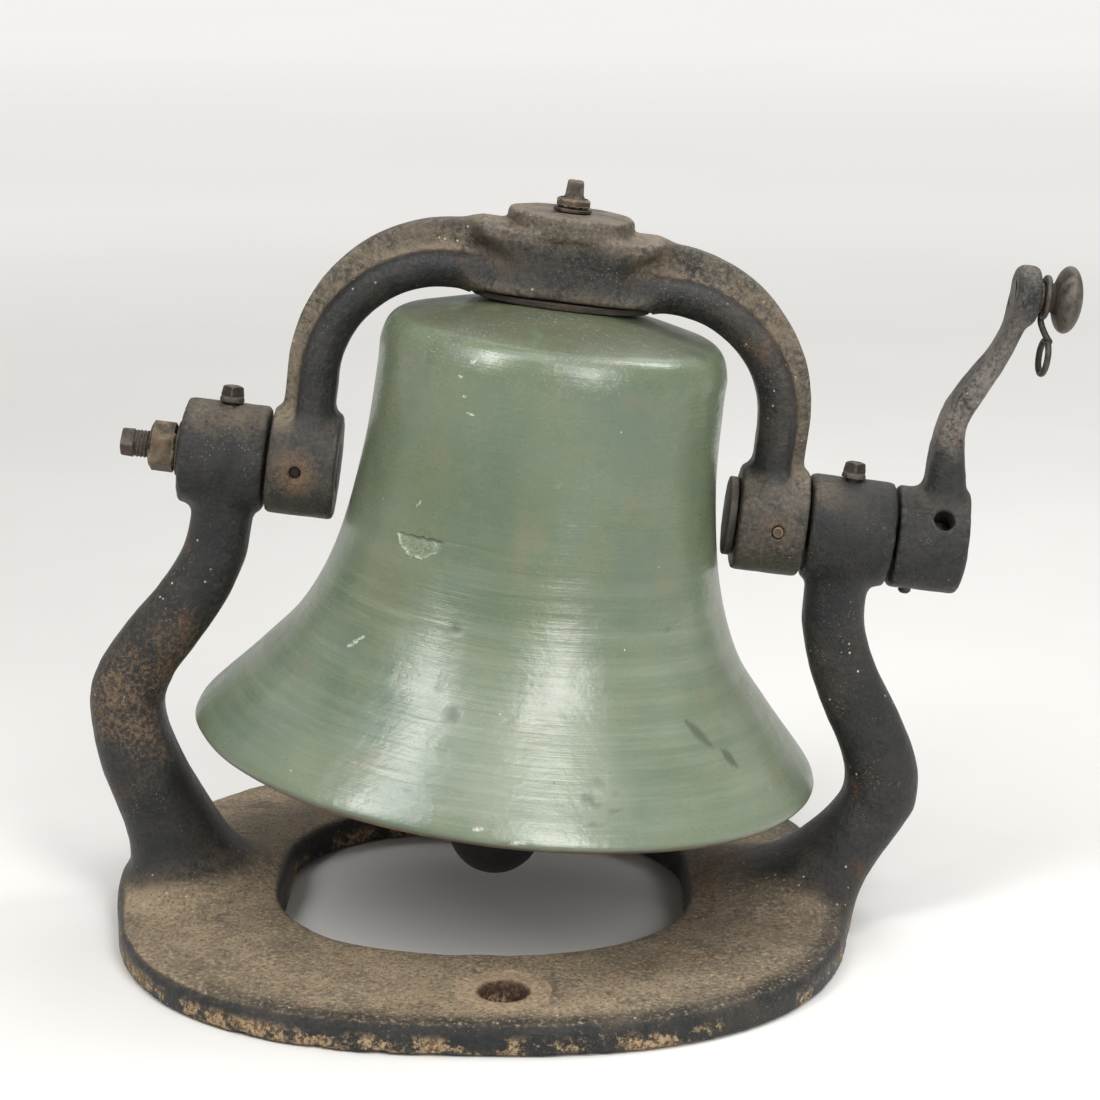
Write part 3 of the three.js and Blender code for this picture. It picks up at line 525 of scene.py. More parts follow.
def iron(name, dust, rust, specks, gloss, base=(20, 20, 19), ring=False, fin=False, faded=False):
    """Cast iron with worn black paint: brown dust, rust, pale specks, and edges lighter, partly
    rubbed paint and partly painted highlight.
    """
    f = Finish(name, Specular_IOR_Level=0.42, Specular_Tint=(0.93, 0.97, 1, 1))
    up, high = f.part(f.normal, "Z"), f.part(f.place, "Z")
    broad = f.noise(9, 3, 0.6)
    patchy = f.noise(42, 7, 0.68, twist=0.5)
    grain = f.noise(480, 5, 0.75)
    sand = f.noise(1500, 2, 0.6)
    mixed = f.weigh(patchy, 0.5, grain, 0.5)
    stained = f.weigh(broad, 0.55, mixed, 0.45)
    f.colour = f.blend((mixed, 0.4, 0.62), base, (36, 35, 32))
    f.rough = f.span(patchy, 0.3, 0.7, gloss, gloss + 0.14)
    f.layer((32, 34, 36), None, (broad, 0.45, 0.62), 0.45)
    f.layer((72, 66, 57), gloss + 0.12, (mixed, 0.4, 0.66), 0.14 + 0.26 * dust)
    f.layer((92, 76, 58), gloss + 0.18, (stained, 0.5, 0.62), 0.22)
    lying = [(up, 0.25, 0.95), (mixed, 0.38, 0.6)]
    if ring:
        brim = f.mark("brim")
        lying.append(brim)
    if fin:
        flank = f.mark("fin")
        lying.append(flank)
        f.layer((120, 108, 90), 0.58, flank, (mixed, 0.34, 0.58), 0.7)
        f.layer((146, 132, 110), 0.7, flank, (grain, 0.52, 0.68), 0.35)
    f.layer((134, 118, 97), 0.72, *lying, min(1.0, dust * 1.1))
    f.layer((118, 103, 84), 0.7, f.mark("hollow"), (mixed, 0.4, 0.62), 0.15 + 0.45 * dust)
    if faded:
        lever = (high, 0.226, 0.246), (high, 0.262, 0.3, 1.0, 0.45), (mixed, 0.38, 0.6)
        f.layer((130, 122, 113), 0.46, *lever, 0.75)
    if ring:
        left_arm = (f.part(f.place, "X"), -0.125, -0.165), (high, 0.06, 0.1), (high, 0.165, 0.125)
        flaking = f.blend((grain, 0.4, 0.62), (52, 42, 34), (128, 104, 78))
        f.layer(flaking, 0.6, *left_arm, (stained, 0.5, 0.58), 0.62)
        flat = f.times((up, 0.72, 0.97), (high, 0.03, 0.0205))
        worn = f.times(flat, brim)
        f.layer((122, 108, 88), 0.72, worn, 0.72)
        f.layer((160, 142, 115), 0.8, worn, (mixed, 0.38, 0.58), 0.8)
        f.layer((186, 172, 148), 0.85, flat, (grain, 0.54, 0.64), 0.5)
        f.layer((66, 60, 52), 0.6, flat, (grain, 0.46, 0.36), 0.45)
        f.layer((92, 87, 78), 0.5, flat, (broad, 0.5, 0.68), 0.35)
        f.layer((48, 38, 28), 0.8, flat, (f.cells(420), 0.3, 0.12), (patchy, 0.4, 0.55), 0.75)
        seat = f.weigh(f.mark("bolt_hole"), 0.6, mixed, 0.6), 0.52, 0.62
        f.layer(f.blend((grain, 0.4, 0.6), (144, 122, 98), (182, 160, 132)), 0.75, seat, 0.8)
        f.layer(f.blend((grain, 0.4, 0.6), (58, 40, 30), (98, 72, 54)), 0.85, f.mark("hole_wall"))
        flakes = f.weigh(f.noise(52, 5, 0.7), 0.8, grain, 0.2), 0.48, 0.56
        bare = f.blend((grain, 0.42, 0.58), (104, 76, 50), (186, 162, 126))
        f.layer(bare, 0.8, (high, 0.0112, 0.0055), flakes, 0.85)
    # Lighter edges: partly rubbed paint, partly a painted highlight.
    f.layer((112, 106, 96), gloss - 0.04, f.mark("edge"), (grain, 0.42, 0.6), 0.52)
    scale = f.blend((grain, 0.4, 0.6), (76, 46, 28), (134, 84, 48))
    f.layer(scale, 0.8, (f.noise(24, 8, 0.72, twist=0.9), 0.58, 0.7), rust)
    f.layer((200, 188, 162), 0.6, (f.cells(170), 0.12, 0.06), (f.noise(22, 3), 0.49, 0.6), specks)
    fine = (f.cells(620), 0.2, 0.1), (f.noise(60, 4), 0.48, 0.64), specks
    f.layer((170, 150, 120), 0.65, *fine, 0.8)
    if not ring:
        f.layer((108, 84, 60), 0.7, f.mark("pin"), (mixed, 0.4, 0.55), 0.75)
    lumps = f.noise(150, 7, 0.65)
    return f.finish((lumps, 0.0014), (grain, 0.0009 if ring else 0.0006), (sand, 0.0002))


def bell_paint():
    """Sage green paint over turned bronze, with turning streaks, stains and bare spots, and a
    painted sheen on the upward-facing flare.
    """
    f = Finish("bell_green_paint", lean=True, Specular_IOR_Level=0.85)
    up, high = f.part(f.normal, "Z"), f.part(f.place, "Z")
    broad = f.noise(7, 3, 0.6)
    hanging = f.noise(1, 5, 0.6, at=(26, 26, 5))
    fine = f.noise(1, 3, 0.6, at=(3, 3, 640))
    wide = f.noise(1, 5, 0.7, at=(4.5, 4.5, 190))
    brush = f.noise(1, 7, 0.75, at=(20, 20, 460))
    grain = f.noise(800, 4, 0.7)
    mottle = f.noise(34, 7, 0.7, twist=0.4)
    flare = f.times((high, 0.225, 0.165), (high, 0.088, 0.112, 0.45, 1.0))
    f.colour = f.blend((hanging, 0.32, 0.68), (77, 96, 77), (92, 102, 77))
    f.rough = f.span(f.weigh(brush, 0.35, mottle, 0.65), 0.36, 0.64, 0.24, 0.34)
    f.layer((106, 117, 96), None, (broad, 0.4, 0.62), 0.55)
    f.layer((110, 110, 82), None, (f.noise(11, 5, 0.65), 0.5, 0.64), 0.26)
    f.layer((80, 98, 84), None, (mottle, 0.48, 0.66), 0.4)
    f.layer((108, 114, 90), None, (mottle, 0.46, 0.34), 0.3)
    # Painted sheen: lighter colour on the upward-facing flare, in patches and along the turning
    # streaks.
    f.layer((124, 133, 115), 0.3, flare, (broad, 0.3, 0.6), 0.5)
    f.layer((146, 153, 136), 0.3, flare, (wide, 0.42, 0.62), 0.16)
    f.layer((170, 176, 160), None, flare, (brush, 0.5, 0.66), 0.08)
    f.layer((80, 92, 72), 0.4, f.plus(f.times(flare, 0.8), 0.2), (fine, 0.62, 0.74), 0.2)
    f.layer((88, 102, 82), 0.38, flare, (wide, 0.38, 0.28), 0.22)
    f.layer((112, 108, 78), 0.4, (f.noise(40, 6, 0.7), 0.54, 0.66), 0.3)
    f.layer((146, 152, 134), None, (grain, 0.54, 0.68), 0.12)
    f.layer((84, 95, 78), None, (grain, 0.46, 0.34), 0.16)
    crown = (up, 0.86, 0.99), (high, 0.286, 0.296)
    f.layer((78, 78, 60), 0.46, *crown, (mottle, 0.32, 0.5), 0.85)
    flecks = (high, 0.27, 0.29), (grain, 0.56, 0.66), (mottle, 0.42, 0.6)
    f.layer((188, 190, 172), 0.45, *flecks, 0.6)
    f.layer((74, 84, 64), 0.5, (high, 0.262, 0.292), (mottle, 0.47, 0.62), 0.55)
    f.layer((58, 64, 50), 0.6, (f.cells(130), 0.09, 0.04), (broad, 0.5, 0.6), 0.8)
    f.layer((196, 202, 184), 0.5, (f.cells(85), 0.05, 0.02), (f.noise(13, 2), 0.54, 0.62), 0.8)
    f.layer((204, 208, 192), 0.45, f.mark("pale"), (grain, 0.4, 0.56), 0.85)
    f.layer((70, 76, 60), 0.5, f.mark("stain"), (grain, 0.2, 0.5, 0.6, 0.95))
    # Painted shadow: a dark line along the lowest few millimetres of the lip.
    f.layer((52, 52, 38), 0.5, (f.plus(high, f.times(brush, 0.004)), 0.0922, 0.0895), 0.85)
    inner = f.mark("inside")
    bronze = f.blend((f.noise(30, 6, 0.65), 0.35, 0.7), (58, 46, 30), (104, 84, 52))
    f.layer(bronze, 0.5, inner)
    f.layer((84, 96, 72), 0.6, inner, (brush, 0.5, 0.7), 0.4)
    turning = (fine, 0.00009), (wide, 0.0003), (brush, 0.00002)
    return f.finish(*turning, (f.noise(60, 4, 0.55), 0.0006), (grain, 0.00004))


def metal(name, dark, light, rust, dust, metallic=0.35, rough=0.45, glint=None):
    """Old steel, brass or bronze, dull in its hollows, and lighter on its edges, partly rubbed and
    partly a painted glint.
    """
    f = Finish(name, Metallic=metallic)
    patchy = f.noise(120, 6, 0.65, twist=0.5)
    grain = f.noise(900, 3, 0.65)
    f.colour = f.blend((patchy, 0.35, 0.65), dark, light)
    f.rough = f.span(patchy, 0.3, 0.7, rough, rough + 0.2)
    f.layer((124, 80, 42), 0.8, (f.noise(200, 7, 0.7), 0.5, 0.68), rust)
    up = f.part(f.normal, "Z"), 0.2, 0.95
    f.layer((140, 120, 94), 0.75, up, (patchy, 0.4, 0.65), dust)
    f.layer((52, 40, 28), 0.85, f.mark("hollow"), 0.8)
    # Lighter edges, partly rubbed metal and partly a painted glint, in the glint colour where one
    # is given.
    edge_wear_and_glint = glint or tuple(min(255, int(v * 1.35)) for v in light)
    f.layer(edge_wear_and_glint, rough - 0.08, f.mark("edge"), (grain, 0.35, 0.6), 0.7)
    f.layer((176, 158, 126), 0.6, (f.cells(600), 0.16, 0.08), (patchy, 0.5, 0.62), 0.5)
    return f.finish((f.noise(420, 6, 0.65), 0.0004), (grain, 0.00012))


def leather():
    f = Finish("gasket_leather")
    patchy = f.noise(90, 6, 0.7)
    f.colour = f.blend((patchy, 0.35, 0.68), (32, 26, 21), (64, 52, 40))
    f.rough = f.span(patchy, 0.3, 0.7, 0.7, 0.9)
    layers = f.noise(1, 3, 0.6, at=(120, 120, 2200))
    f.layer((40, 28, 22), 0.9, (layers, 0.52, 0.66), 0.6)
    return f.finish((f.cells(900), 0.0002), (layers, 0.0004))


def pale_floor():
    """A pale floor that glows with painted light, more with distance, so that it meets the backdrop
    softly.
    """
    f = Finish("pale_floor", Emission_Color=(1, 0.992, 0.98, 1))
    cloud = f.noise(1.3, 5, 0.6)
    f.colour = f.blend((cloud, 0.3, 0.7), (216, 214, 211), (220, 219, 216))
    f.rough = f.span(cloud, 0.3, 0.7, 0.6, 0.72)
    length = f.node("VectorMath")
    length.operation = "LENGTH"
    f.plug(length.inputs[0], f.place)
    away = length.outputs["Value"]
    glow = f.plus(f.span(away, 0.5, 3.2, 0.0, 0.5), f.span(away, 2.4, 9.0, 0.0, 0.12))
    f.plug(f.shader.inputs["Emission Strength"], glow)
    return f.finish((f.noise(240, 4, 0.6), 0.0001))


CRADLE_IRON = iron("cradle_iron", dust=0.36, rust=0.55, specks=0.9, gloss=0.33, ring=True)
YOKE_IRON = iron("yoke_iron", dust=0.6, rust=0.25, specks=0.65, gloss=0.33, fin=True)
CRANK_IRON = iron("crank_iron", 0.14, 0.35, specks=0.4, gloss=0.38, base=(17, 17, 17), faded=True)
KNOB = metal("knob_brass", (52, 49, 46), (92, 87, 78), 0.2, 0.25, 0.4, 0.36, glint=(196, 170, 112))
STEEL = metal("dark_steel", (40, 37, 34), (72, 67, 60), rust=0.35, dust=0.36)
RUSTY = metal(
    "rusty_steel", (58, 50, 42), (102, 90, 74), rust=0.5, dust=0.4, rough=0.5, glint=(170, 152, 118)
)
WIRE = metal("wire_steel", (30, 29, 28), (58, 54, 50), rust=0.25, dust=0.15, rough=0.4)
# Painted shade: the left cross pin's end sits down in its hole, so its steel is darker and without
# dust.
DARK_PIN = metal("shadowed_steel", (24, 21, 18), (40, 34, 28), rust=0.2, dust=0.0)
BRONZE = metal("bush_bronze", (94, 72, 40), (150, 118, 66), rust=0.1, dust=0.2, metallic=0.8)
PAINT = bell_paint()
LEATHER = leather()

# ---- Cradle ------------------------------------------------------------------------------

RING_OUTER, RING_OPENING, RING_POWER = 177, 100, 2.5
RIM_Z, INNER_Z = 15, 17.7
BOLT_CIRCLE, BOLT_HOLE_R, BOLT_SEAT_R, BOLT_ANGLE = 139.5, 10.4, 22.5, math.radians(-85)
STAND_BOSS, BOSS_R, BUSH_R, OIL_PLUG_X = (128.6, 170), 25.4, 14.2, 148.5

ARM = [
    ((132.5, 194), (163.5, 194), 17),
    ((133.2, 176), (163.4, 176), 15.5),
    ((135, 161), (166.5, 162), 15.5),
    ((142.2, 139), (174.5, 145.5), 16.5),
    ((154, 117), (189, 124), 17.5),
    ((163.8, 99), (200.8, 101.5), 18),
    ((166.5, 83), (203.2, 82), 18.5),
]
FEET = {
    -1: [
        ((149, 78), (189, 75), 20),
        ((131, 45), (177.5, 43), 24),
        ((118, 28), (174.5, 26), 31),
        ((104, 15), (175, 12), 42),
        ((102, 3), (175, 3), 44),
    ],
    1: [
        ((165, 50), (206.5, 49), 20),
        ((148, 35), (195.5, 33), 25),
        ((130, 25), (187, 21), 32),
        ((108, 15.5), (180, 12), 42),
        ((104, 3), (176, 3), 44),
    ],
}


def ring_reach(x, y):
    """Distance from the ring's middle, measured so that its rounded outline is at one distance."""
    return (np.abs(x) ** RING_POWER + np.abs(y) ** RING_POWER) ** (1 / RING_POWER)


def arm_sections(side):
    """Sections of an arm, given upright at the foot and leaning above it."""
    c, s = math.cos(LEAN), math.sin(LEAN)
    inner, outer, deep = [], [], []
    for (x0, h0), (x1, h1), half in ARM:
        inner.append((side * x0 * c + h0 * s, h0 * c - side * x0 * s))
        outer.append((side * x1 * c + h1 * s, h1 * c - side * x1 * s))
        deep.append((half,))
    for (x0, h0), (x1, h1), half in FEET[side]:
        inner.append((side * x0, h0))
        outer.append((side * x1, h1))
        deep.append((half,))
    count = 90
    stations = zip(through(inner, count), through(outer, count), through(deep, count))
    return [oval(a, b, d[0], 2.3) for a, b, d in stations]


def build_cradle():
    g = Casting((-205, -178, 0), (232, 178, 256), 1.7)
    x, y, z = g.x, g.y, g.z
    reach = np.maximum(ring_reach(x, y), 1)
    power = RING_POWER - 1
    slope = np.sqrt(np.abs(x) ** (2 * power) + np.abs(y) ** (2 * power)) / reach**power
    slope = np.maximum(slope, 0.5)
    rise = (INNER_Z - RIM_Z) / 69.5
    top = z - RIM_Z - rise * (RING_OUTER - 4.5 - reach)
    ring = smooth_max((reach - RING_OUTER) / slope, top, 6.5)
    ring = smooth_max(ring, (RING_OPENING - reach) / slope, 5)
    g.d = ring.astype(np.float32)
    ragged = np.maximum(g.rumble(13, 5), g.rumble(5.5, 6) - 0.25)
    foot = 0.2 + smoothstep(166, 176, reach) * np.maximum(ragged - 0.1, 0) * 2.4
    for side in (-1, 1):
        g.join(g.loft(arm_sections(side), 20), 17)
    g.d = np.maximum(g.d, foot - z)
    c, s = math.cos(LEAN), math.sin(LEAN)
    lean = (x * c - z * s, y, x * s + z * c)
    for side in (-1, 1):
        low, high = mirrored(side, STAND_BOSS)
        g.join(g.axle(BOSS_R, (low, high), 3.2, lean), 5.5)
        ends = np.maximum(low - lean[0], lean[0] - high)
        near = np.hypot(y, lean[2] - AXIS_H) < 34
        out = side * lean[0]
        inner_half = (out < side * 0.5 * (low + high)) & (out > 90)
        g.d = np.where(near & inner_half, np.maximum(g.d, ends), g.d)
    g.roughen(14, 0.5, 11)
    g.roughen(5, 0.3, 12)
    for side in (-1, 1):
        g.cut(g.axle(BUSH_R + GAP, mirrored(side, (120, 180)), 0, lean), 1.5)
        g.cut(g.rod(4, 205, 260, "z", (side * OIL_PLUG_X, 0), 0, lean), 1)
    bolt = BOLT_CIRCLE * np.array([math.cos(BOLT_ANGLE), math.sin(BOLT_ANGLE)])
    for turn in (0, math.pi):
        angle = BOLT_ANGLE + turn
        at = (BOLT_CIRCLE * math.cos(angle), BOLT_CIRCLE * math.sin(angle))
        g.cut(g.rod(BOLT_SEAT_R, RIM_Z + 0.4, 60, "z", at), 1.2)
        g.cut(g.rod(BOLT_HOLE_R, -20, 60, "z", at), 2.2)

    def bolt_distance(p):
        return np.minimum(*(np.hypot(*(p[:, :2] - at).T) for at in (bolt, -bolt)))

    def brim(p):
        """How much of the dust lies here: less on the rounded rim and at the right arm's foot."""
        x, y, z = p.T
        rounding = 0.85 * smoothstep(161, 171, ring_reach(x, y)) * smoothstep(-150, -90, x)
        foot = 0.7 * smoothstep(90, 130, x) * smoothstep(17, 26, z) * smoothstep(170, 140, z)
        right = 0.25 * smoothstep(10, 110, x) * smoothstep(60, 40, z)
        return (1 - rounding) * (1 - foot) * (1 - right)

    marks = {
        "brim": brim,
        "bolt_hole": lambda p: (1 - smoothstep(18, 25, bolt_distance(p))) * (p[:, 2] > 12),
        "hole_wall": lambda p: 1 - smoothstep(11, 12.6, bolt_distance(p)),
    }
    cast("cradle", g, UPRIGHT, "stand", CRADLE_IRON, marks)


# ---- Yoke --------------------------------------------------------------------------------

YOKE_BOSS, SHAFT_R, YOKE_BAR, YOKE_PIN_X = (95, 128), 11, 19.5, 114
GASKET_X, GASKET_Y, GASKET_TOP, CROWN_H = 42, 27.5, 306.7, 303.3
BLOCK_TOP, DISC_R, DISC_TOP = 338, 30, 346.3


# The arch's inner and outer corners: middle, height and radius. Its legs and its top run on from
# them.
ARCH_CORNERS = [(50.6, 256, 48.8), (47, 260.5, 77)]
LEG_X, TOP_H = (99.4, 124), (304.8, 337.5)
# Half the section of the arch's bar: depth from the inner face, and half thickness.
BAR_HALF = [
    (0, 5.5), (2.5, 10), (7, 13.5), (11.5, 14.5), (15.2, 13.6), (17.3, 11.2), (18.4, 7.8),
    (19.4, 6),
]
# The block's sections: half width, half depth and height.
BLOCK = [
    (40.5, 26, 307), (41.5, 27, 309.5), (36.5, 26.5, 313.5), (32, 26, 318), (32, 26, 323),
    (37, 26.5, 328.5), (42.5, 27, 332.5), (43.5, 26.5, 336.5), (41, 25, 338),
]


def yoke_section(inner, outer):
    """A section of the arch: a rounded bar inside, and a thinner fin outside it."""
    across = outer - inner
    fin = np.linalg.norm(across) - YOKE_BAR
    across = across / np.linalg.norm(across)
    half = BAR_HALF + [
        (YOKE_BAR + 0.35 * fin, 5.4), (YOKE_BAR + 0.75 * fin, 5.4), (YOKE_BAR + fin - 0.8, 5.2),
        (YOKE_BAR + fin, 4),
    ]
    outline = closed_through(half + [(d, -w) for d, w in half[::-1]], 4)
    depth = np.clip(outline[:, 0], 0, YOKE_BAR + fin)
    return np.stack([inner[0] + across[0] * depth, outline[:, 1], inner[1] + across[1] * depth], 1)


def build_yoke():
    g = Casting((-129, -30, 184), (129, 30, 348), 1.3)
    stations = [[(x, h) for x in LEG_X] for h in (216, 223, 230)]
    stations.append([(LEG_X[0], 237), (LEG_X[1], 239.5)])
    for angle in np.linspace(0, math.pi / 2, 30):
        c, s = math.cos(angle), math.sin(angle)
        stations.append([(x + r * c, h + r * s) for x, h, r in ARCH_CORNERS])
    for share in (0.66, 0.33, 0):
        stations.append([(x * share, h) for (x, _, _), h in zip(ARCH_CORNERS, TOP_H)])
    stations += [[(-x, h) for x, h in pair] for pair in stations[-2::-1]]
    g.d = g.loft([yoke_section(np.array(a), np.array(b)) for a, b in stations], 14)
    block = []
    for half_x, half_y, h in BLOCK:
        section = oval(np.array((-half_x, 0.0)), np.array((half_x, 0.0)), half_y, 3.6)
        section[:, 2] = h
        block.append(section)
    g.join(g.loft(block, 12), 10)
    for side in (-1, 1):
        g.join(g.axle(BOSS_R, mirrored(side, YOKE_BOSS), 2.6), 7)
    g.join(g.rod(DISC_R, BLOCK_TOP - 3, DISC_TOP, "z", (0, 0), 2.4), 3)
    beyond = np.abs(g.x) - YOKE_BOSS[1]
    g.d = np.where(beyond > -1, np.maximum(g.d, beyond), g.d)
    g.roughen(12, 0.4, 21)
    g.roughen(4.5, 0.2, 22)
    for side in (-1, 1):
        g.cut(g.axle(SHAFT_R + GAP, mirrored(side, (80, 135))), 1.2)
        g.cut(g.rod(2.9, -40, 40, "y", (side * YOKE_PIN_X, AXIS_H)), 1.2)
        g.cut(g.axle(BOSS_R - 3, mirrored(side, (60, YOKE_BOSS[0]))))
    g.cut(g.rod(6.45, 300, 360, "z"))
    seat_x, seat_y = GASKET_X + 1.5, GASKET_Y + 1.5
    seat = np.hypot(g.x, g.y * seat_x / seat_y) - GASKET_X - 1.5
    g.cut(np.maximum(seat, g.z - GASKET_TOP - GAP))

    def round_pins(p):
        x, h = p[:, 0], p[:, 2] - AXIS_H
        at = np.minimum(np.hypot(x - YOKE_PIN_X, h), np.hypot(x + YOKE_PIN_X, h))
        return (1 - smoothstep(4, 15, at)) * (p[:, 1] < 0) * np.where(x > 0, 0.4, 1)

    def dusty(p):
        """How much of the dust lies here: most on the arch's fin and the block's right side."""
        x, h = np.abs(p[:, 0]), p[:, 2]
        middle, bend_h, radius = ARCH_CORNERS[0]
        bent = np.hypot(np.maximum(x - middle, 0), np.maximum(h - bend_h, 0)) - radius
        depth = np.where(h < bend_h, x - LEG_X[0], np.where(x < middle, h - TOP_H[0], bent))
        flank = smoothstep(17.2, 19.4, depth) * (1 - 0.7 * smoothstep(26, 31.5, depth))
        flank = flank * smoothstep(224, 240, h)
        block = 0.6 * smoothstep(326, 337, h) + 0.4 * smoothstep(315, 309, h) + 0.12
        block = block + smoothstep(25, 38, p[:, 0]) * smoothstep(318, 326, h)
        bosses = smoothstep(240, 230, h) * np.where(p[:, 0] > 0, 0.4, 0.15)
        along = smoothstep(36, 54, x)
        return (1 - along) * np.minimum(block, 1) + along * np.maximum(flank, bosses)

    marks = {"pin": round_pins, "fin": dusty}
    cast("yoke", g, LEANING, "swinging_bell", YOKE_IRON, marks)


# ---- Crank -------------------------------------------------------------------------------

CRANK_HUB, CRANK_HUB_R = (170.6, 204.7), 24.7
CRANK_HEAD = (209, 221.4, 14.4)
SET_SCREW_X, SCREW_HOLE_TILT = 181, math.radians(37)
KNOB_H, KNOB_INNER, KNOB_OUTER, KNOB_R, NECK_R, RIVET_R = 334, 228, 241.4, 16, 7, 4.5
LEVER = [
    ((183, 222), (204, 222)), ((182, 241), (202.2, 240)), ((182.4, 258), (199, 255)),
    ((185.2, 275), (197.8, 270)), ((193.5, 292), (204.4, 286)), ((201.5, 305), (210.6, 300)),
    ((206.8, 318), (215.4, 314)), ((209.2, 331), (220.2, 329)),
]


def build_crank():
    g = Casting((168, -27, 185), (224, 27, 350), 1.05)
    count = 60
    inner, outer = (through(side, count) for side in zip(*LEVER))
    depth = np.linspace(13, 10.5, count)
    g.d = g.loft([oval(a, b, d, 3) for a, b, d in zip(inner, outer, depth)], 10)
    g.join(g.axle(CRANK_HUB_R, CRANK_HUB, 2.6), 6)
    low, high, radius = CRANK_HEAD
    g.join(g.rod(radius, low, high, "x", (0, KNOB_H), 5), 4)
    g.d = np.maximum(g.d, CRANK_HUB[0] - g.x)
    g.d = np.where(g.z > KNOB_H - 12, np.maximum(g.d, g.x - high), g.d)
    g.roughen(9, 0.4, 31)
    g.roughen(3.6, 0.25, 32)
    g.cut(g.axle(SHAFT_R + GAP, (160, 215)), 1.2)
    c, s = math.cos(SCREW_HOLE_TILT), math.sin(SCREW_HOLE_TILT)
    h = g.z - AXIS_H
    toward = (g.x, g.y * c * -1 + h * s, g.y * s + h * c)
    g.cut(g.rod(4.8, 0, 40, "y", (191.5, 0), 0, toward), 1.2)
    g.cut(g.rod(3.5, AXIS_H - 40, AXIS_H - 5, "z", (SET_SCREW_X, 0)), 0.8)
    g.cut(g.rod(RIVET_R + GAP, 200, 230, "x", (0, KNOB_H)), 0.6)
    cone = np.hypot(g.y, g.z - KNOB_H) - (RIVET_R + GAP + np.clip(low + 2 - g.x, 0, 3))
    g.cut(np.maximum(cone, g.x - low - 2.5))
    cast("crank_arm", g, LEANING, "swinging_bell", CRANK_IRON)

    width = KNOB_OUTER - 0.05 - KNOB_INNER
    bulge = []
    for angle in np.linspace(-math.pi / 2, math.pi / 2, 40)[1:-1]:
        radius = KNOB_R * math.cos(angle) ** 0.86
        if angle > 0 or radius > NECK_R + 2.5:
            bulge.append((radius, KNOB_INNER + width / 2 * (1 + math.sin(angle))))
    rivet = [
        (0, low), (RIVET_R + 2, low), (RIVET_R, low + 2), (RIVET_R, high + GAP),
        (NECK_R, high + GAP), (NECK_R, KNOB_INNER + 0.6),
    ]
    knob = [
        *rounded(rivet, 0.5)[:-1], (NECK_R, KNOB_INNER - 0.6), (NECK_R + 0.4, KNOB_INNER + 0.1),
        (NECK_R + 1.2, KNOB_INNER + 0.45), *bulge, (0, KNOB_INNER + width),
    ]
    look = {"at": (0, 0, KNOB_H), "sides": 112, "wear": 0.25, "lumps": 9}
    turned("crank_knob", knob, "swinging_bell", "knob_brass", KNOB, "x", **look)


def build_hook():
    middle = (CRANK_HEAD[1] + KNOB_INNER) / 2
    wire = 1.58
    g = Casting((middle - 4, -12, 294), (middle + 9, 12, 346), 0.42)
    ring_r = NECK_R + wire + GAP + 0.2
    turns = np.linspace(-math.pi / 2 + 0.25, 1.5 * math.pi - 0.25, 40)
    across, up = -ring_r * np.cos(turns), KNOB_H + ring_r * np.sin(turns)
    ring = np.stack([middle - 0.25 + 0 * turns, across, up], 1)
    shank = [
        ring[-1], (middle - 0.2, 0.4, KNOB_H - ring_r - 3), (middle + 2.4, 0, KNOB_H - 17),
        (middle + 5.2, 0, KNOB_H - 20.5),
    ]
    turns = math.pi / 2 - np.linspace(0, 1.84 * math.pi, 34)
    c, s = np.cos(turns), np.sin(turns)
    eye = np.stack([middle + 3.6 - 1.15 * c, 4.8 * c, KNOB_H - 28 + 8 * s], 1)
    for path in (ring, through(shank, 16), eye):
        for a, b in zip(path[:-1], path[1:]):
            away, along = (g.x - a[0], g.y - a[1], g.z - a[2]), b - a
            t = sum(d * step for d, step in zip(away, along)) / (along @ along)
            t = np.clip(t, 0, 1)
            g.join(np.sqrt(sum((d - t * step) ** 2 for d, step in zip(away, along))) - wire)
    g.roughen(2.5, 0.06, 41)
    cast("pull_hook", g, LEANING, "pull_hook", WIRE)


# ---- Bell --------------------------------------------------------------------------------

LIP_R, LIP_H, SHOULDER_R = 151, 86, 82.4
# The outer and inner profiles: radius and height.
FLARE = [
    (LIP_R, 88.5), (147.2, 95), (125, 120), (105.7, 145), (92, 180), (84.4, 225), (82.4, 262),
    (82.4, 277.5),
]
BORE = [
    (76.4, 278), (76.4, 258), (78.2, 225), (85.3, 181), (98.2, 144), (117.2, 116.5), (138.2, 93),
    (143.1, 87),
]
SCAR = (199.5, -36)  # height, and degrees round from the front
# Dents: height, degrees, radius and depth in mm.
DENTS = [
    (165, -18, 3, 0.35), (132, -13, 4.5, 0.3), (140, -18, 2.6, 0.3), (103, -17, 2.2, 0.3),
    (113.5, 18.5, 3.4, 0.5), (108.5, 16, 2.2, 0.4), (109, 21, 2.4, 0.3), (171, 44, 3, 0.4),
    (245, 18, 2.4, 0.3), (120, 130, 4, 0.7), (190, 165, 3.5, 0.6), (150, -120, 4, 0.6),
    (228, -95, 3, 0.4), (112, -160, 3.6, 0.6), (268, 70, 2.6, 0.3),
]
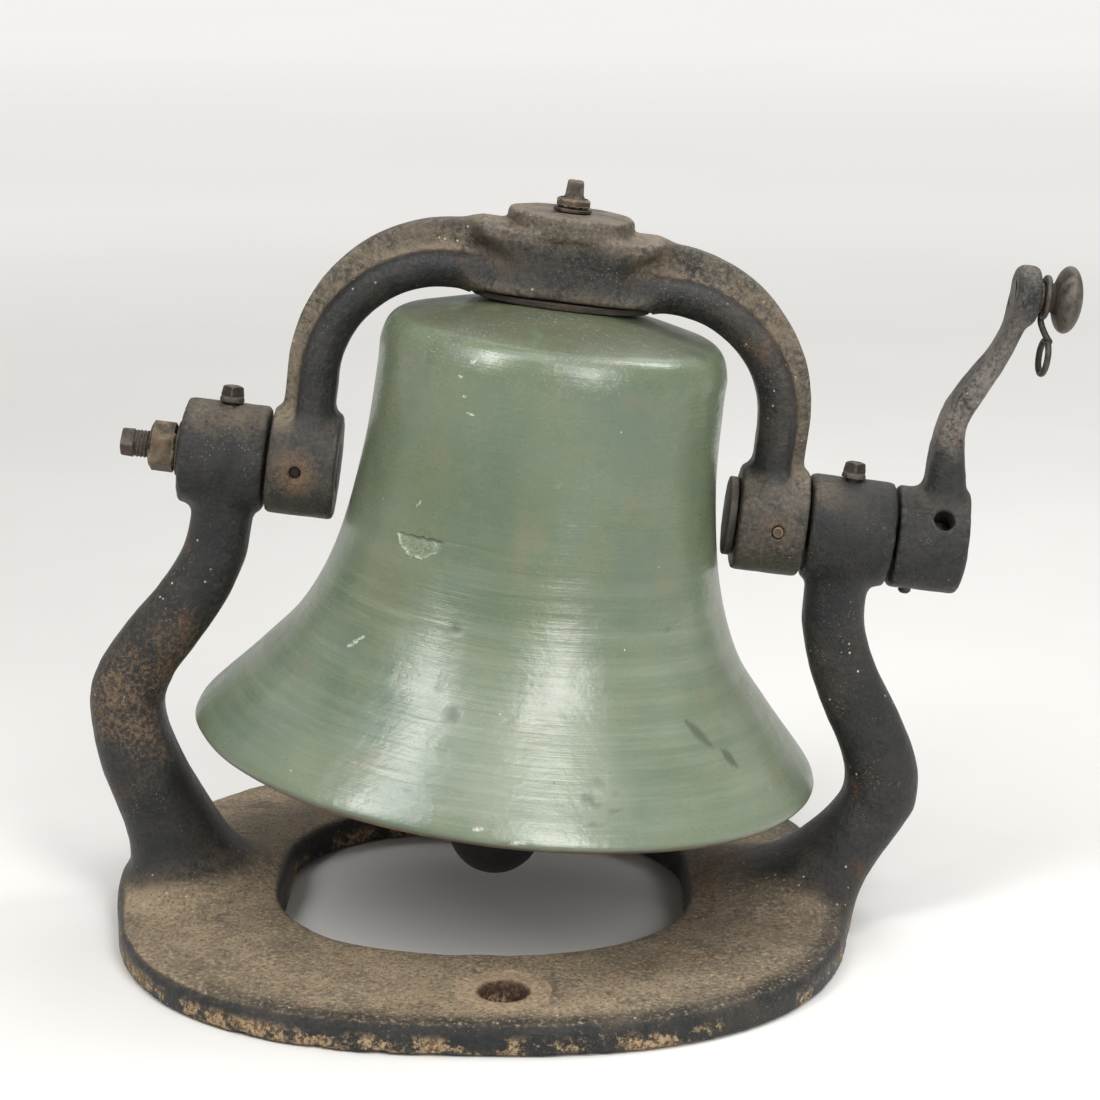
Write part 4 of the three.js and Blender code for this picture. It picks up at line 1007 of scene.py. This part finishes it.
# Dark stains and pale chips: height and degrees at both ends, and half width in mm.
STAINS = [
    ((133, 43.5), (122.5, 48.5), 2.1), ((120, 51), (113.5, 53.5), 2.3),
    ((167, -19.5), (164, -16.5), 1.4), ((297.6, 66), (296.6, 84), 1.4),
    ((292.3, 58), (291.8, 66), 1.5), ((98, 14), (98.5, 18), 0.8), ((103, 19), (103.5, 22), 0.8),
    ((240, 150), (228, 153), 1.6), ((125, -140), (118, -133), 1.6),
    ((292.6, -120), (292.2, -108), 1.5), ((160, 100), (152, 103), 1.3),
    ((134, -14.6), (130, -12.4), 2), ((109, 14), (105, 17.5), 1.5),
]
CHIPS = [
    ((275.8, -31.2), (275.4, -29.6), 0.4), ((267.2, -28.8), (267, -27.4), 0.35),
    ((260.2, -26.4), (259.9, -24), 0.4), ((284, -28), (283.6, -26), 0.6),
    ((89.6, 2), (89.7, 4.2), 0.5), ((235, 5), (234.4, 5.8), 0.6), ((152, -44), (146, -47.5), 0.5),
    ((216, -38), (213, -39.4), 0.45), ((230, 128), (228, 129.5), 0.8),
    ((180, -150), (179, -147), 0.8), ((93.5, -4), (93, -2.8), 0.4), ((271, 172), (270, 174), 0.8),
]
TURNING_LINES = (138.5, 130, 121.5, 151, 164, 176, 287.2, 284.6, 106)


def turn_from(start, degrees):
    """Degrees from start, the short way round."""
    return (degrees - start + 180) % 360 - 180


def stroke(height, degrees, reach, start, end):
    """Distance in mm from a mark on the bell's surface, less across its middle, as in a leaf."""
    scale = math.pi / 180 * reach
    ah, aa = start
    bh, ba = end
    dh, da = bh - ah, (ba - aa) * scale
    u, v = height - ah, turn_from(aa, degrees) * scale
    t = np.clip((u * dh + v * da) / (dh * dh + da * da + 1e-9), 0, 1)
    return np.hypot(u - t * dh, v - t * da) / (0.35 + 0.8 * np.sin(math.pi * t))


def scar_lines(degrees, reach):
    """Place across the scar, heights of its upper and lower edges, and how strong it is there."""
    side = turn_from(SCAR[1], degrees) * math.pi / 180 * reach
    upper = 0.6 + 0.06 * side + 0.3 * np.sin(1.1 * side)
    lower = np.minimum(-8.4 + 0.045 * side**2 + 0.5 * np.sin(0.9 * side + 1), upper - 0.1)
    share = smoothstep(-15, -11, side) * smoothstep(14, 11, side)
    return side, upper, lower, share


def relief(height, degrees, reach):
    """How far the bell's outer surface is pushed out, in mm: inwards, but for a few raised rims."""
    scale = math.pi / 180 * reach
    out = np.zeros_like(height + degrees)
    for h, a, size, depth in DENTS:
        away = np.hypot(height - h, turn_from(a, degrees) * scale * 0.8)
        out -= depth * bump(away, size)
        out += 0.16 * depth * bump(away - size, size * 0.35)
    side, upper, lower, share = scar_lines(degrees, reach)
    over = height - SCAR[0]
    t = np.clip((over - lower) / np.maximum(upper - lower, 0.5), 0, 1)
    gouge = t * t * (over < upper + 0.9) * smoothstep(upper + 0.9, upper - 0.2, over)
    out += share * (-1.1 * gouge + 0.4 * bump(over - lower + 0.2, 1.6))
    angle = np.radians(degrees)
    for h in TURNING_LINES:
        line = 0.16 * bump(height - h - 0.6 * np.sin(angle * 2 + h), 0.9)
        out -= line * (0.5 + 0.5 * np.sin(angle * 3 + h * 2))
    return out


def bezier(a, b, c, d, count):
    t = np.linspace(0, 1, count)[:, None]
    a, b, c, d = map(np.array, (a, b, c, d))
    return (1 - t) ** 3 * a + 3 * t * (1 - t) ** 2 * b + 3 * t * t * (1 - t) * c + t**3 * d


def lengths(points):
    """How far along the line each of its points lies."""
    return np.concatenate([[0], np.cumsum(np.linalg.norm(np.diff(points, axis=0), axis=1))])


def bell_outside():
    """The outer profile, from the lip to the bolt hole, with more points at the scar and chips."""
    flare = through(FLARE, 420)
    shoulder = bezier((SHOULDER_R, 277.5), (81.2, 285.5), (79.4, 290.2), (73.5, 292.3), 60)
    crown = [(73.5, 292.3), (55, 297.2), (32, 302.7), (30, CROWN_H), (6.5, CROWN_H)]
    line = np.concatenate([flare, shoulder[1:], rounded(crown, 3)[1:]])
    along = lengths(line)
    scar, low, high = np.interp((SCAR[0], 258, 277), flare[:, 1], lengths(flare))
    parts = (0, along[-1], 1.45), (scar - 10, scar + 8, 0.5), (low, high, 0.45)
    at = np.unique(np.concatenate([*(np.arange(*part) for part in parts), along[-1:]]))
    return np.stack([np.interp(at, along, column) for column in line.T], 1)


def build_bell():
    outer = bell_outside()
    crown = [(6.5, CROWN_H), (6.5, CROWN_H - 8), (40, CROWN_H - 9.5), (68, 286), (76.4, 278)]
    lip = [(143.1, 87), (149.2, LIP_H), (LIP_R, 88.5)]
    inner = [rounded(crown, 2)[1:-1], through(BORE, 70), rounded(lip, 0.8)[1:-1]]
    profile = np.concatenate([outer, *inner])
    parts = (SCAR[1] - 10, SCAR[1] + 10, 0.45), (-33, -23, 0.3), (41, 57, 0.4)
    degrees = np.linspace(-180, 180, 288, endpoint=False)
    degrees = np.concatenate([degrees, *(np.arange(*part) for part in parts)])
    degrees = np.unique(np.round(degrees, 4))
    degrees = degrees[np.concatenate([[True], np.diff(degrees) > 0.12])]
    outside = np.arange(len(profile)) < len(outer)

    def shape(radius, angle, along):
        out = relief(along, np.degrees(angle), radius)
        return radius + np.where(outside[:, None], out * smoothstep(40, 60, radius), 0)

    points, faces = lathe(profile, np.radians(degrees), shape, closed=True)
    radius, height = np.hypot(points[:, 0], points[:, 1]), points[:, 2]
    turn = np.degrees(np.arctan2(points[:, 0], -points[:, 1]))
    painted = np.where(np.repeat(~outside, len(degrees))[: len(points)], 0, 1)
    normal = normals_of(points, faces)
    wear = 0.16 * (1 + wobble(points, 30, 3)) * smoothstep(12, 30, radius)
    points = points - normal * wear[:, None]

    def strokes(rows, full, none):
        """1 on the strokes, falling to 0 at their edges, given as shares of their half width."""
        total = np.zeros(len(points))
        for start, end, half in rows:
            away = stroke(height, turn, radius, start, end)
            total = np.maximum(total, 1 - smoothstep(half * full, half * none, away))
        return total

    stain = strokes(STAINS, 0.6, 1.5)
    for h, a, size, _ in DENTS:
        away = np.hypot(height - h, turn_from(a, turn) * math.pi / 180 * radius * 0.8)
        stain = np.maximum(stain, 0.5 * bump(away - size * 0.2, size * 0.6))
    side, upper, lower, share = scar_lines(turn, radius)
    over = height - SCAR[0]
    stain = np.maximum(stain, 1.1 * share * smoothstep(-8, -3, side) * bump(over - upper, 1.1))
    pale = strokes(CHIPS, 0.7, 1.6)
    pale = np.maximum(pale, 0.6 * share * bump(over - lower, 0.9))
    pale = np.maximum(pale, 0.14 * share * (over > lower) * (over < upper))
    marks = {"stain": 0.85 * stain * painted, "pale": pale * painted, "inside": 1 - painted}
    piece("bell", points, faces, LEANING, "swinging_bell", PAINT, marks)


# ---- Fixings -----------------------------------------------------------------------------


PIVOT_H = 268  # of the clapper
PIN_HOLE_R = 3.8
FORK_HALF = 11.5


def thread(pitch, depth, low, high, inner=None):
    """A limit for lathe(): a screw thread cut between two heights."""

    def shape(radius, angle, along):
        phase = (along / pitch + angle / (2 * math.pi)) % 1
        cut = depth * (1 - np.abs(2 * phase - 1)) * ((along > low) & (along < high))
        radius = radius - cut
        return inner(radius, angle, along) if inner else radius

    return shape


def dense(profile, step, low, high):
    """A profile with extra points between two heights, for a thread."""
    p = np.array(profile, float)
    out = [p[0]]
    for a, b in zip(p[:-1], p[1:]):
        inside = min(a[1], b[1]) >= low - 1e-6 and max(a[1], b[1]) <= high + 1e-6
        parts = max(1, int(abs(b[1] - a[1]) / step)) if inside else 1
        out += [a + (b - a) * k / parts for k in range(1, parts + 1)]
    return np.array(out)


def sleeve(bore, radius, low, high, edge):
    corners = [(bore, low), (radius, low), (radius, high), (bore, high)]
    return rounded(corners, edge, 3, closed=True)


def steel(node, profile, axis="z", at=(0, 0, 0), sides=96, **look):
    turned(node, profile, "swinging_bell", "dark_steel", STEEL, axis, at, sides, **look)


def nut(node, across, bore, low, high, chamfer, axis="z", at=(0, 0, 0)):
    corner = across / 2 / math.cos(math.pi / 6)
    cone = corner - 2 * chamfer
    profile = [
        (bore, low), (cone, low), (corner, low + chamfer), (corner, high - chamfer), (cone, high),
        (bore, high),
    ]
    turned(
        node, rounded(profile, 0.35, 2, closed=True), "swinging_bell", "rusty_steel", RUSTY, axis,
        at, 144, flats(6, across), True, wear=0.1, lumps=6,
    )


def build_bearings(on_axis):
    """A bush, an oil plug and the yoke's cross pin at each bearing."""
    for name, side in (("left", -1), ("right", 1)):
        low, high = mirrored(side, STAND_BOSS)
        turned(
            name + "_bearing_bush", sleeve(SHAFT_R + GAP, BUSH_R, low + 0.4, high - 0.4, 0.6),
            "stand", "bush_bronze", BRONZE, "x", on_axis, closed=True,
        )
        foot, tip = BOSS_R + 0.4, BOSS_R + 7.6
        plug = [
            (0, 17), (3.6, 17), (3.6, foot), (6, foot), (5.8, BOSS_R + 1.6), (5.2, BOSS_R + 3),
            (5.66, BOSS_R + 3.2), (5.2, tip - 0.8), (4.4, tip), (0, tip),
        ]
        turned(
            name + "_oil_plug", rounded(plug, 0.45, 3), "stand", "dark_steel", STEEL, "z",
            (side * OIL_PLUG_X, 0, AXIS_H), 96,
            flats(4, None, ([BOSS_R + 2.8, BOSS_R + 3.0, tip], [14, 8, 7])), wear=0.12, lumps=3,
        )
        half, look = (21.5, DARK_PIN) if side < 0 else (24.8, RUSTY)
        pin = rounded([(0, -half), (2.6, -half), (2.6, half), (0, half)], 0.7)
        turned(
            name + "_yoke_cross_pin", pin, "swinging_bell", "rusty_steel", look, "y",
            (side * YOKE_PIN_X, 0, AXIS_H), 48, wear=0.05,
        )


def build_trunnions(on_axis):
    washer, nut_end, thread_end, tip, thread_r = -171.8, -185, -192.5, -198.7, 6.7
    shoulder, head = -STAND_BOSS[1] - 0.1, -YOKE_BOSS[0]
    pin = [
        (0, tip), (6.2, tip), (7.2, tip + 0.8), (6.9, thread_end - 0.2),
        (thread_r - 1, thread_end + 0.2), (thread_r, thread_end + 1), (thread_r, nut_end + 3),
        (thread_r, shoulder), (SHAFT_R, shoulder), (SHAFT_R, head - 1), (SHAFT_R - 1, head),
        (0, head),
    ]
    pin = dense(rounded(pin, 0.4, 3), 0.22, thread_end + 0.4, nut_end + 3)
    square = flats(4, None, ([tip, thread_end, thread_end + 0.4], [9.6, 10.4, 30]))
    screw = thread(1.8, 0.7, thread_end + 0.8, nut_end + 3, square)
    steel("left_trunnion_pin", pin, "x", on_axis, shape=screw, wear=0.05)
    ring = sleeve(thread_r + GAP, 13, washer, -STAND_BOSS[1] - 2 * GAP, 0.3)
    steel("left_trunnion_washer", ring, "x", on_axis, closed=True, wear=0.03)
    size = (21.8, thread_r + GAP, nut_end, washer - GAP, 1.6)
    nut("left_trunnion_nut", *size, "x", on_axis)

    start, end = YOKE_BOSS[0] - GAP, CRANK_HUB[1] - 1
    shaft = [
        (0, 90.6), (18.9, 90.6), (18.9, start), (SHAFT_R, start), (SHAFT_R, end - 1),
        (SHAFT_R - 1, end), (0, end),
    ]
    steel("crank_shaft", rounded(shaft, 0.9), "x", on_axis, wear=0.15)
    low, high = -BOSS_R, -SHAFT_R
    screw = [
        (0, low - 2.2), (2, low - 1.9), (3.2, low - 0.6), (3.2, high + 0.6), (1.5, high + 1.7),
        (0, high + 1.7),
    ]
    screw = dense(rounded(screw, 0.3), 0.16, low - 0.6, high)
    cut = thread(1.1, 0.35, low - 0.7, high - 1)
    steel("crank_set_screw", screw, at=(SET_SCREW_X, 0, AXIS_H), sides=48, shape=cut, wear=0.03)


def build_centre_bolt(washer_low, nut_top):
    """A bolt with a square tip above its nut, and the clapper's fork at its lower end."""
    top, bolt_r = 361, 6
    g = Casting((-12, -10, 256), (12, 10, 362), 0.6)
    x, y, z = g.x, g.y, g.z
    g.d = g.rod(bolt_r, washer_low - 8, nut_top + 0.6, "z", (0, 0), 0.8)
    turns = (z / 1.75 + np.arctan2(y, x) / (2 * math.pi)) % 1
    g.d = np.where(z > nut_top - 4, g.d + 0.6 * (1 - np.abs(2 * turns - 1)), g.d)
    width = 4.4 - 0.7 * np.clip((z - nut_top) / (top - nut_top), 0, 1)
    square = smooth_max(np.abs(x) - width, np.abs(y) - width, 1.1)
    g.join(smooth_max(square, np.maximum(nut_top - 2 - z, z - top), 1.2), 0.6)
    fork = smooth_max(np.abs(x) - FORK_HALF, np.abs(y) - 9, 3)
    g.join(smooth_max(fork, np.maximum(257 - z, z - washer_low + GAP), 2), 0.8)
    g.cut(np.maximum(np.abs(x) - 4.5, z - 278), 0.6)
    g.cut(g.rod(PIN_HOLE_R, -20, 20, "x", (0, PIVOT_H)), 0.5)
    beside = np.hypot(x, y) > bolt_r
    fork_top = np.maximum(g.d, z - washer_low + GAP)
    g.d = np.where((z < washer_low) & beside, fork_top, g.d)
    cast("centre_bolt", g, LEANING, "swinging_bell", STEEL)


def build_fixings():
    on_axis = (0, 0, AXIS_H)
    build_bearings(on_axis)
    build_trunnions(on_axis)

    hole_r, inner_h = 6.3, CROWN_H - 8
    washer_low = inner_h - 4.5
    inner = sleeve(hole_r, 18, washer_low, inner_h - 1.5, 0.5)
    steel("inner_crown_washer", inner, closed=True)
    low, high, nut_top = DISC_TOP + GAP, DISC_TOP + 1.8, 352.8
    steel("centre_bolt_washer", sleeve(hole_r, 9, low, high, 0.35), closed=True, wear=0.08)
    nut("centre_bolt_nut", 15.6, hole_r, high + GAP, nut_top, 1.2)
    build_centre_bolt(washer_low, nut_top)

    at_pivot = (0, 0, PIVOT_H)
    out = FORK_HALF + GAP
    pin = [
        (0, -out - 2.5), (5, -out - 2.2), (5.4, -out), (3.5, -out), (3.5, out + 3.4),
        (2.9, out + 4), (0, out + 4),
    ]
    steel("clapper_pin", rounded(pin, 0.5), "x", at_pivot, 64)
    collar = sleeve(PIN_HOLE_R, 6, out + GAP, out + GAP + 2.2, 0.4)
    steel("clapper_pin_collar", collar, "x", at_pivot, 64, closed=True)

    turned_r = 50

    def gasket_edge(radius, angle, along):
        """The oval outline, a little frayed."""
        across, deep = np.sin(angle) / GASKET_X, np.cos(angle) / GASKET_Y
        oval_r = 1 / np.sqrt(across**2 + deep**2)
        frayed = 0.35 * np.abs(np.sin(9 * angle + 1) * np.sin(23 * angle + 2 + along))
        return np.where(radius > 20, oval_r - (turned_r - radius) - frayed, radius)

    turned(
        "crown_gasket", sleeve(6.8, turned_r, CROWN_H + GAP, GASKET_TOP, 0.8), "swinging_bell",
        "gasket_leather", LEATHER, sides=160, shape=gasket_edge, closed=True, wear=0.05,
    )


def build_clapper():
    ball_h, ball_r, eye_half = 42, 23, 4.1
    g = Casting((-24, -24, 17), (24, 24, 279), 1.1)
    g.d = np.sqrt(g.x**2 + g.y**2 + (g.z - ball_h) ** 2) - ball_r
    heights = [ball_h + ball_r + 4, PIVOT_H - 40, PIVOT_H - 22]
    radius = np.interp(g.z, heights, [7, 4.8, 3.9]).astype(np.float32)
    ends = np.maximum(ball_h - g.z, g.z - PIVOT_H + 3)
    g.join(np.maximum(np.hypot(g.x, g.y) - radius, ends), 8)
    g.join(g.rod(8.6, -eye_half, eye_half, "x", (0, PIVOT_H), 1), 2.5)
    g.d = np.where(g.z > PIVOT_H - 12, np.maximum(g.d, np.abs(g.x) - eye_half), g.d)
    g.d = np.maximum(g.d, ball_h - ball_r + 0.4 - g.z)
    g.roughen(8, 0.4, 51)
    g.cut(g.rod(PIN_HOLE_R, -20, 20, "x", (0, PIVOT_H)), 0.6)
    cast("clapper", g, LEANING, "clapper", CRANK_IRON)


# ---- Stage -------------------------------------------------------------------------------


def stage():
    half = 30
    corners = [(-half, -half, 0), (half, -half, 0), (half, half, 0), (-half, half, 0)]
    floor = bpy.data.meshes.new("floor")
    floor.from_pydata(corners, [], [(0, 1, 2, 3)])
    floor.materials.append(pale_floor())
    ground = bpy.data.objects.new("floor", floor)
    bpy.context.scene.collection.objects.link(ground)

    world = bpy.data.worlds.new("studio")
    bpy.context.scene.world = world
    world.use_nodes = True
    background = world.node_tree.nodes["Background"]
    background.inputs[0].default_value = (*srgb(255, 253, 250), 1)
    background.inputs[1].default_value = 0.38

    def softbox(name, azimuth, elevation, distance, size, radiance):
        """A light aimed at the bell: azimuth 0 is in front and 90 on the crank's side."""
        target = Vector((0, 0, 0.18))
        a, e = math.radians(azimuth), math.radians(elevation)
        ahead, up = distance * math.cos(e), distance * math.sin(e)
        place = Vector((ahead * math.sin(a), -ahead * math.cos(a), target.z + up))
        data = bpy.data.lights.new(name, "AREA")
        data.shape = "RECTANGLE"
        data.size, data.size_y = size
        data.energy = radiance * math.pi * size[0] * size[1]
        light = bpy.data.objects.new(name, data)
        light.location = place
        light.rotation_euler = (target - place).to_track_quat("-Z", "Y").to_euler()
        bpy.context.scene.collection.objects.link(light)

    softbox("front", 27, 36, 1.7, (0.56, 1.25), 9.8)
    softbox("front_left", -47, 46, 1.7, (0.4, 1.1), 11.8)
    softbox("right", 112, 54, 1.7, (0.34, 0.8), 10)
    softbox("overhead", 30, 82, 1.8, (1.5, 1.0), 1.6)
    softbox("back", 165, 45, 1.9, (1.2, 0.8), 2.5)
    bpy.context.scene.view_settings.view_transform = "Standard"


def camera():
    data = bpy.data.cameras.new("camera")
    data.sensor_width = 36
    data.lens = 85.1
    made = bpy.data.objects.new("camera", data)
    down, roll, pan = math.radians(13.84), math.radians(0.7), math.radians(0.095)
    made.matrix_world = (
        Matrix.Translation((RING_X + 0.0321, -1.2104, 0.4804))
        @ Matrix.Rotation(pan, 4, "Z")
        @ Matrix.Rotation(math.pi / 2 - down, 4, "X")
        @ Matrix.Rotation(roll, 4, "Z")
    )
    bpy.context.scene.collection.objects.link(made)
    bpy.context.scene.camera = made


camera()
stage()
build_cradle()
build_yoke()
build_crank()
build_hook()
build_bell()
build_fixings()
build_clapper()
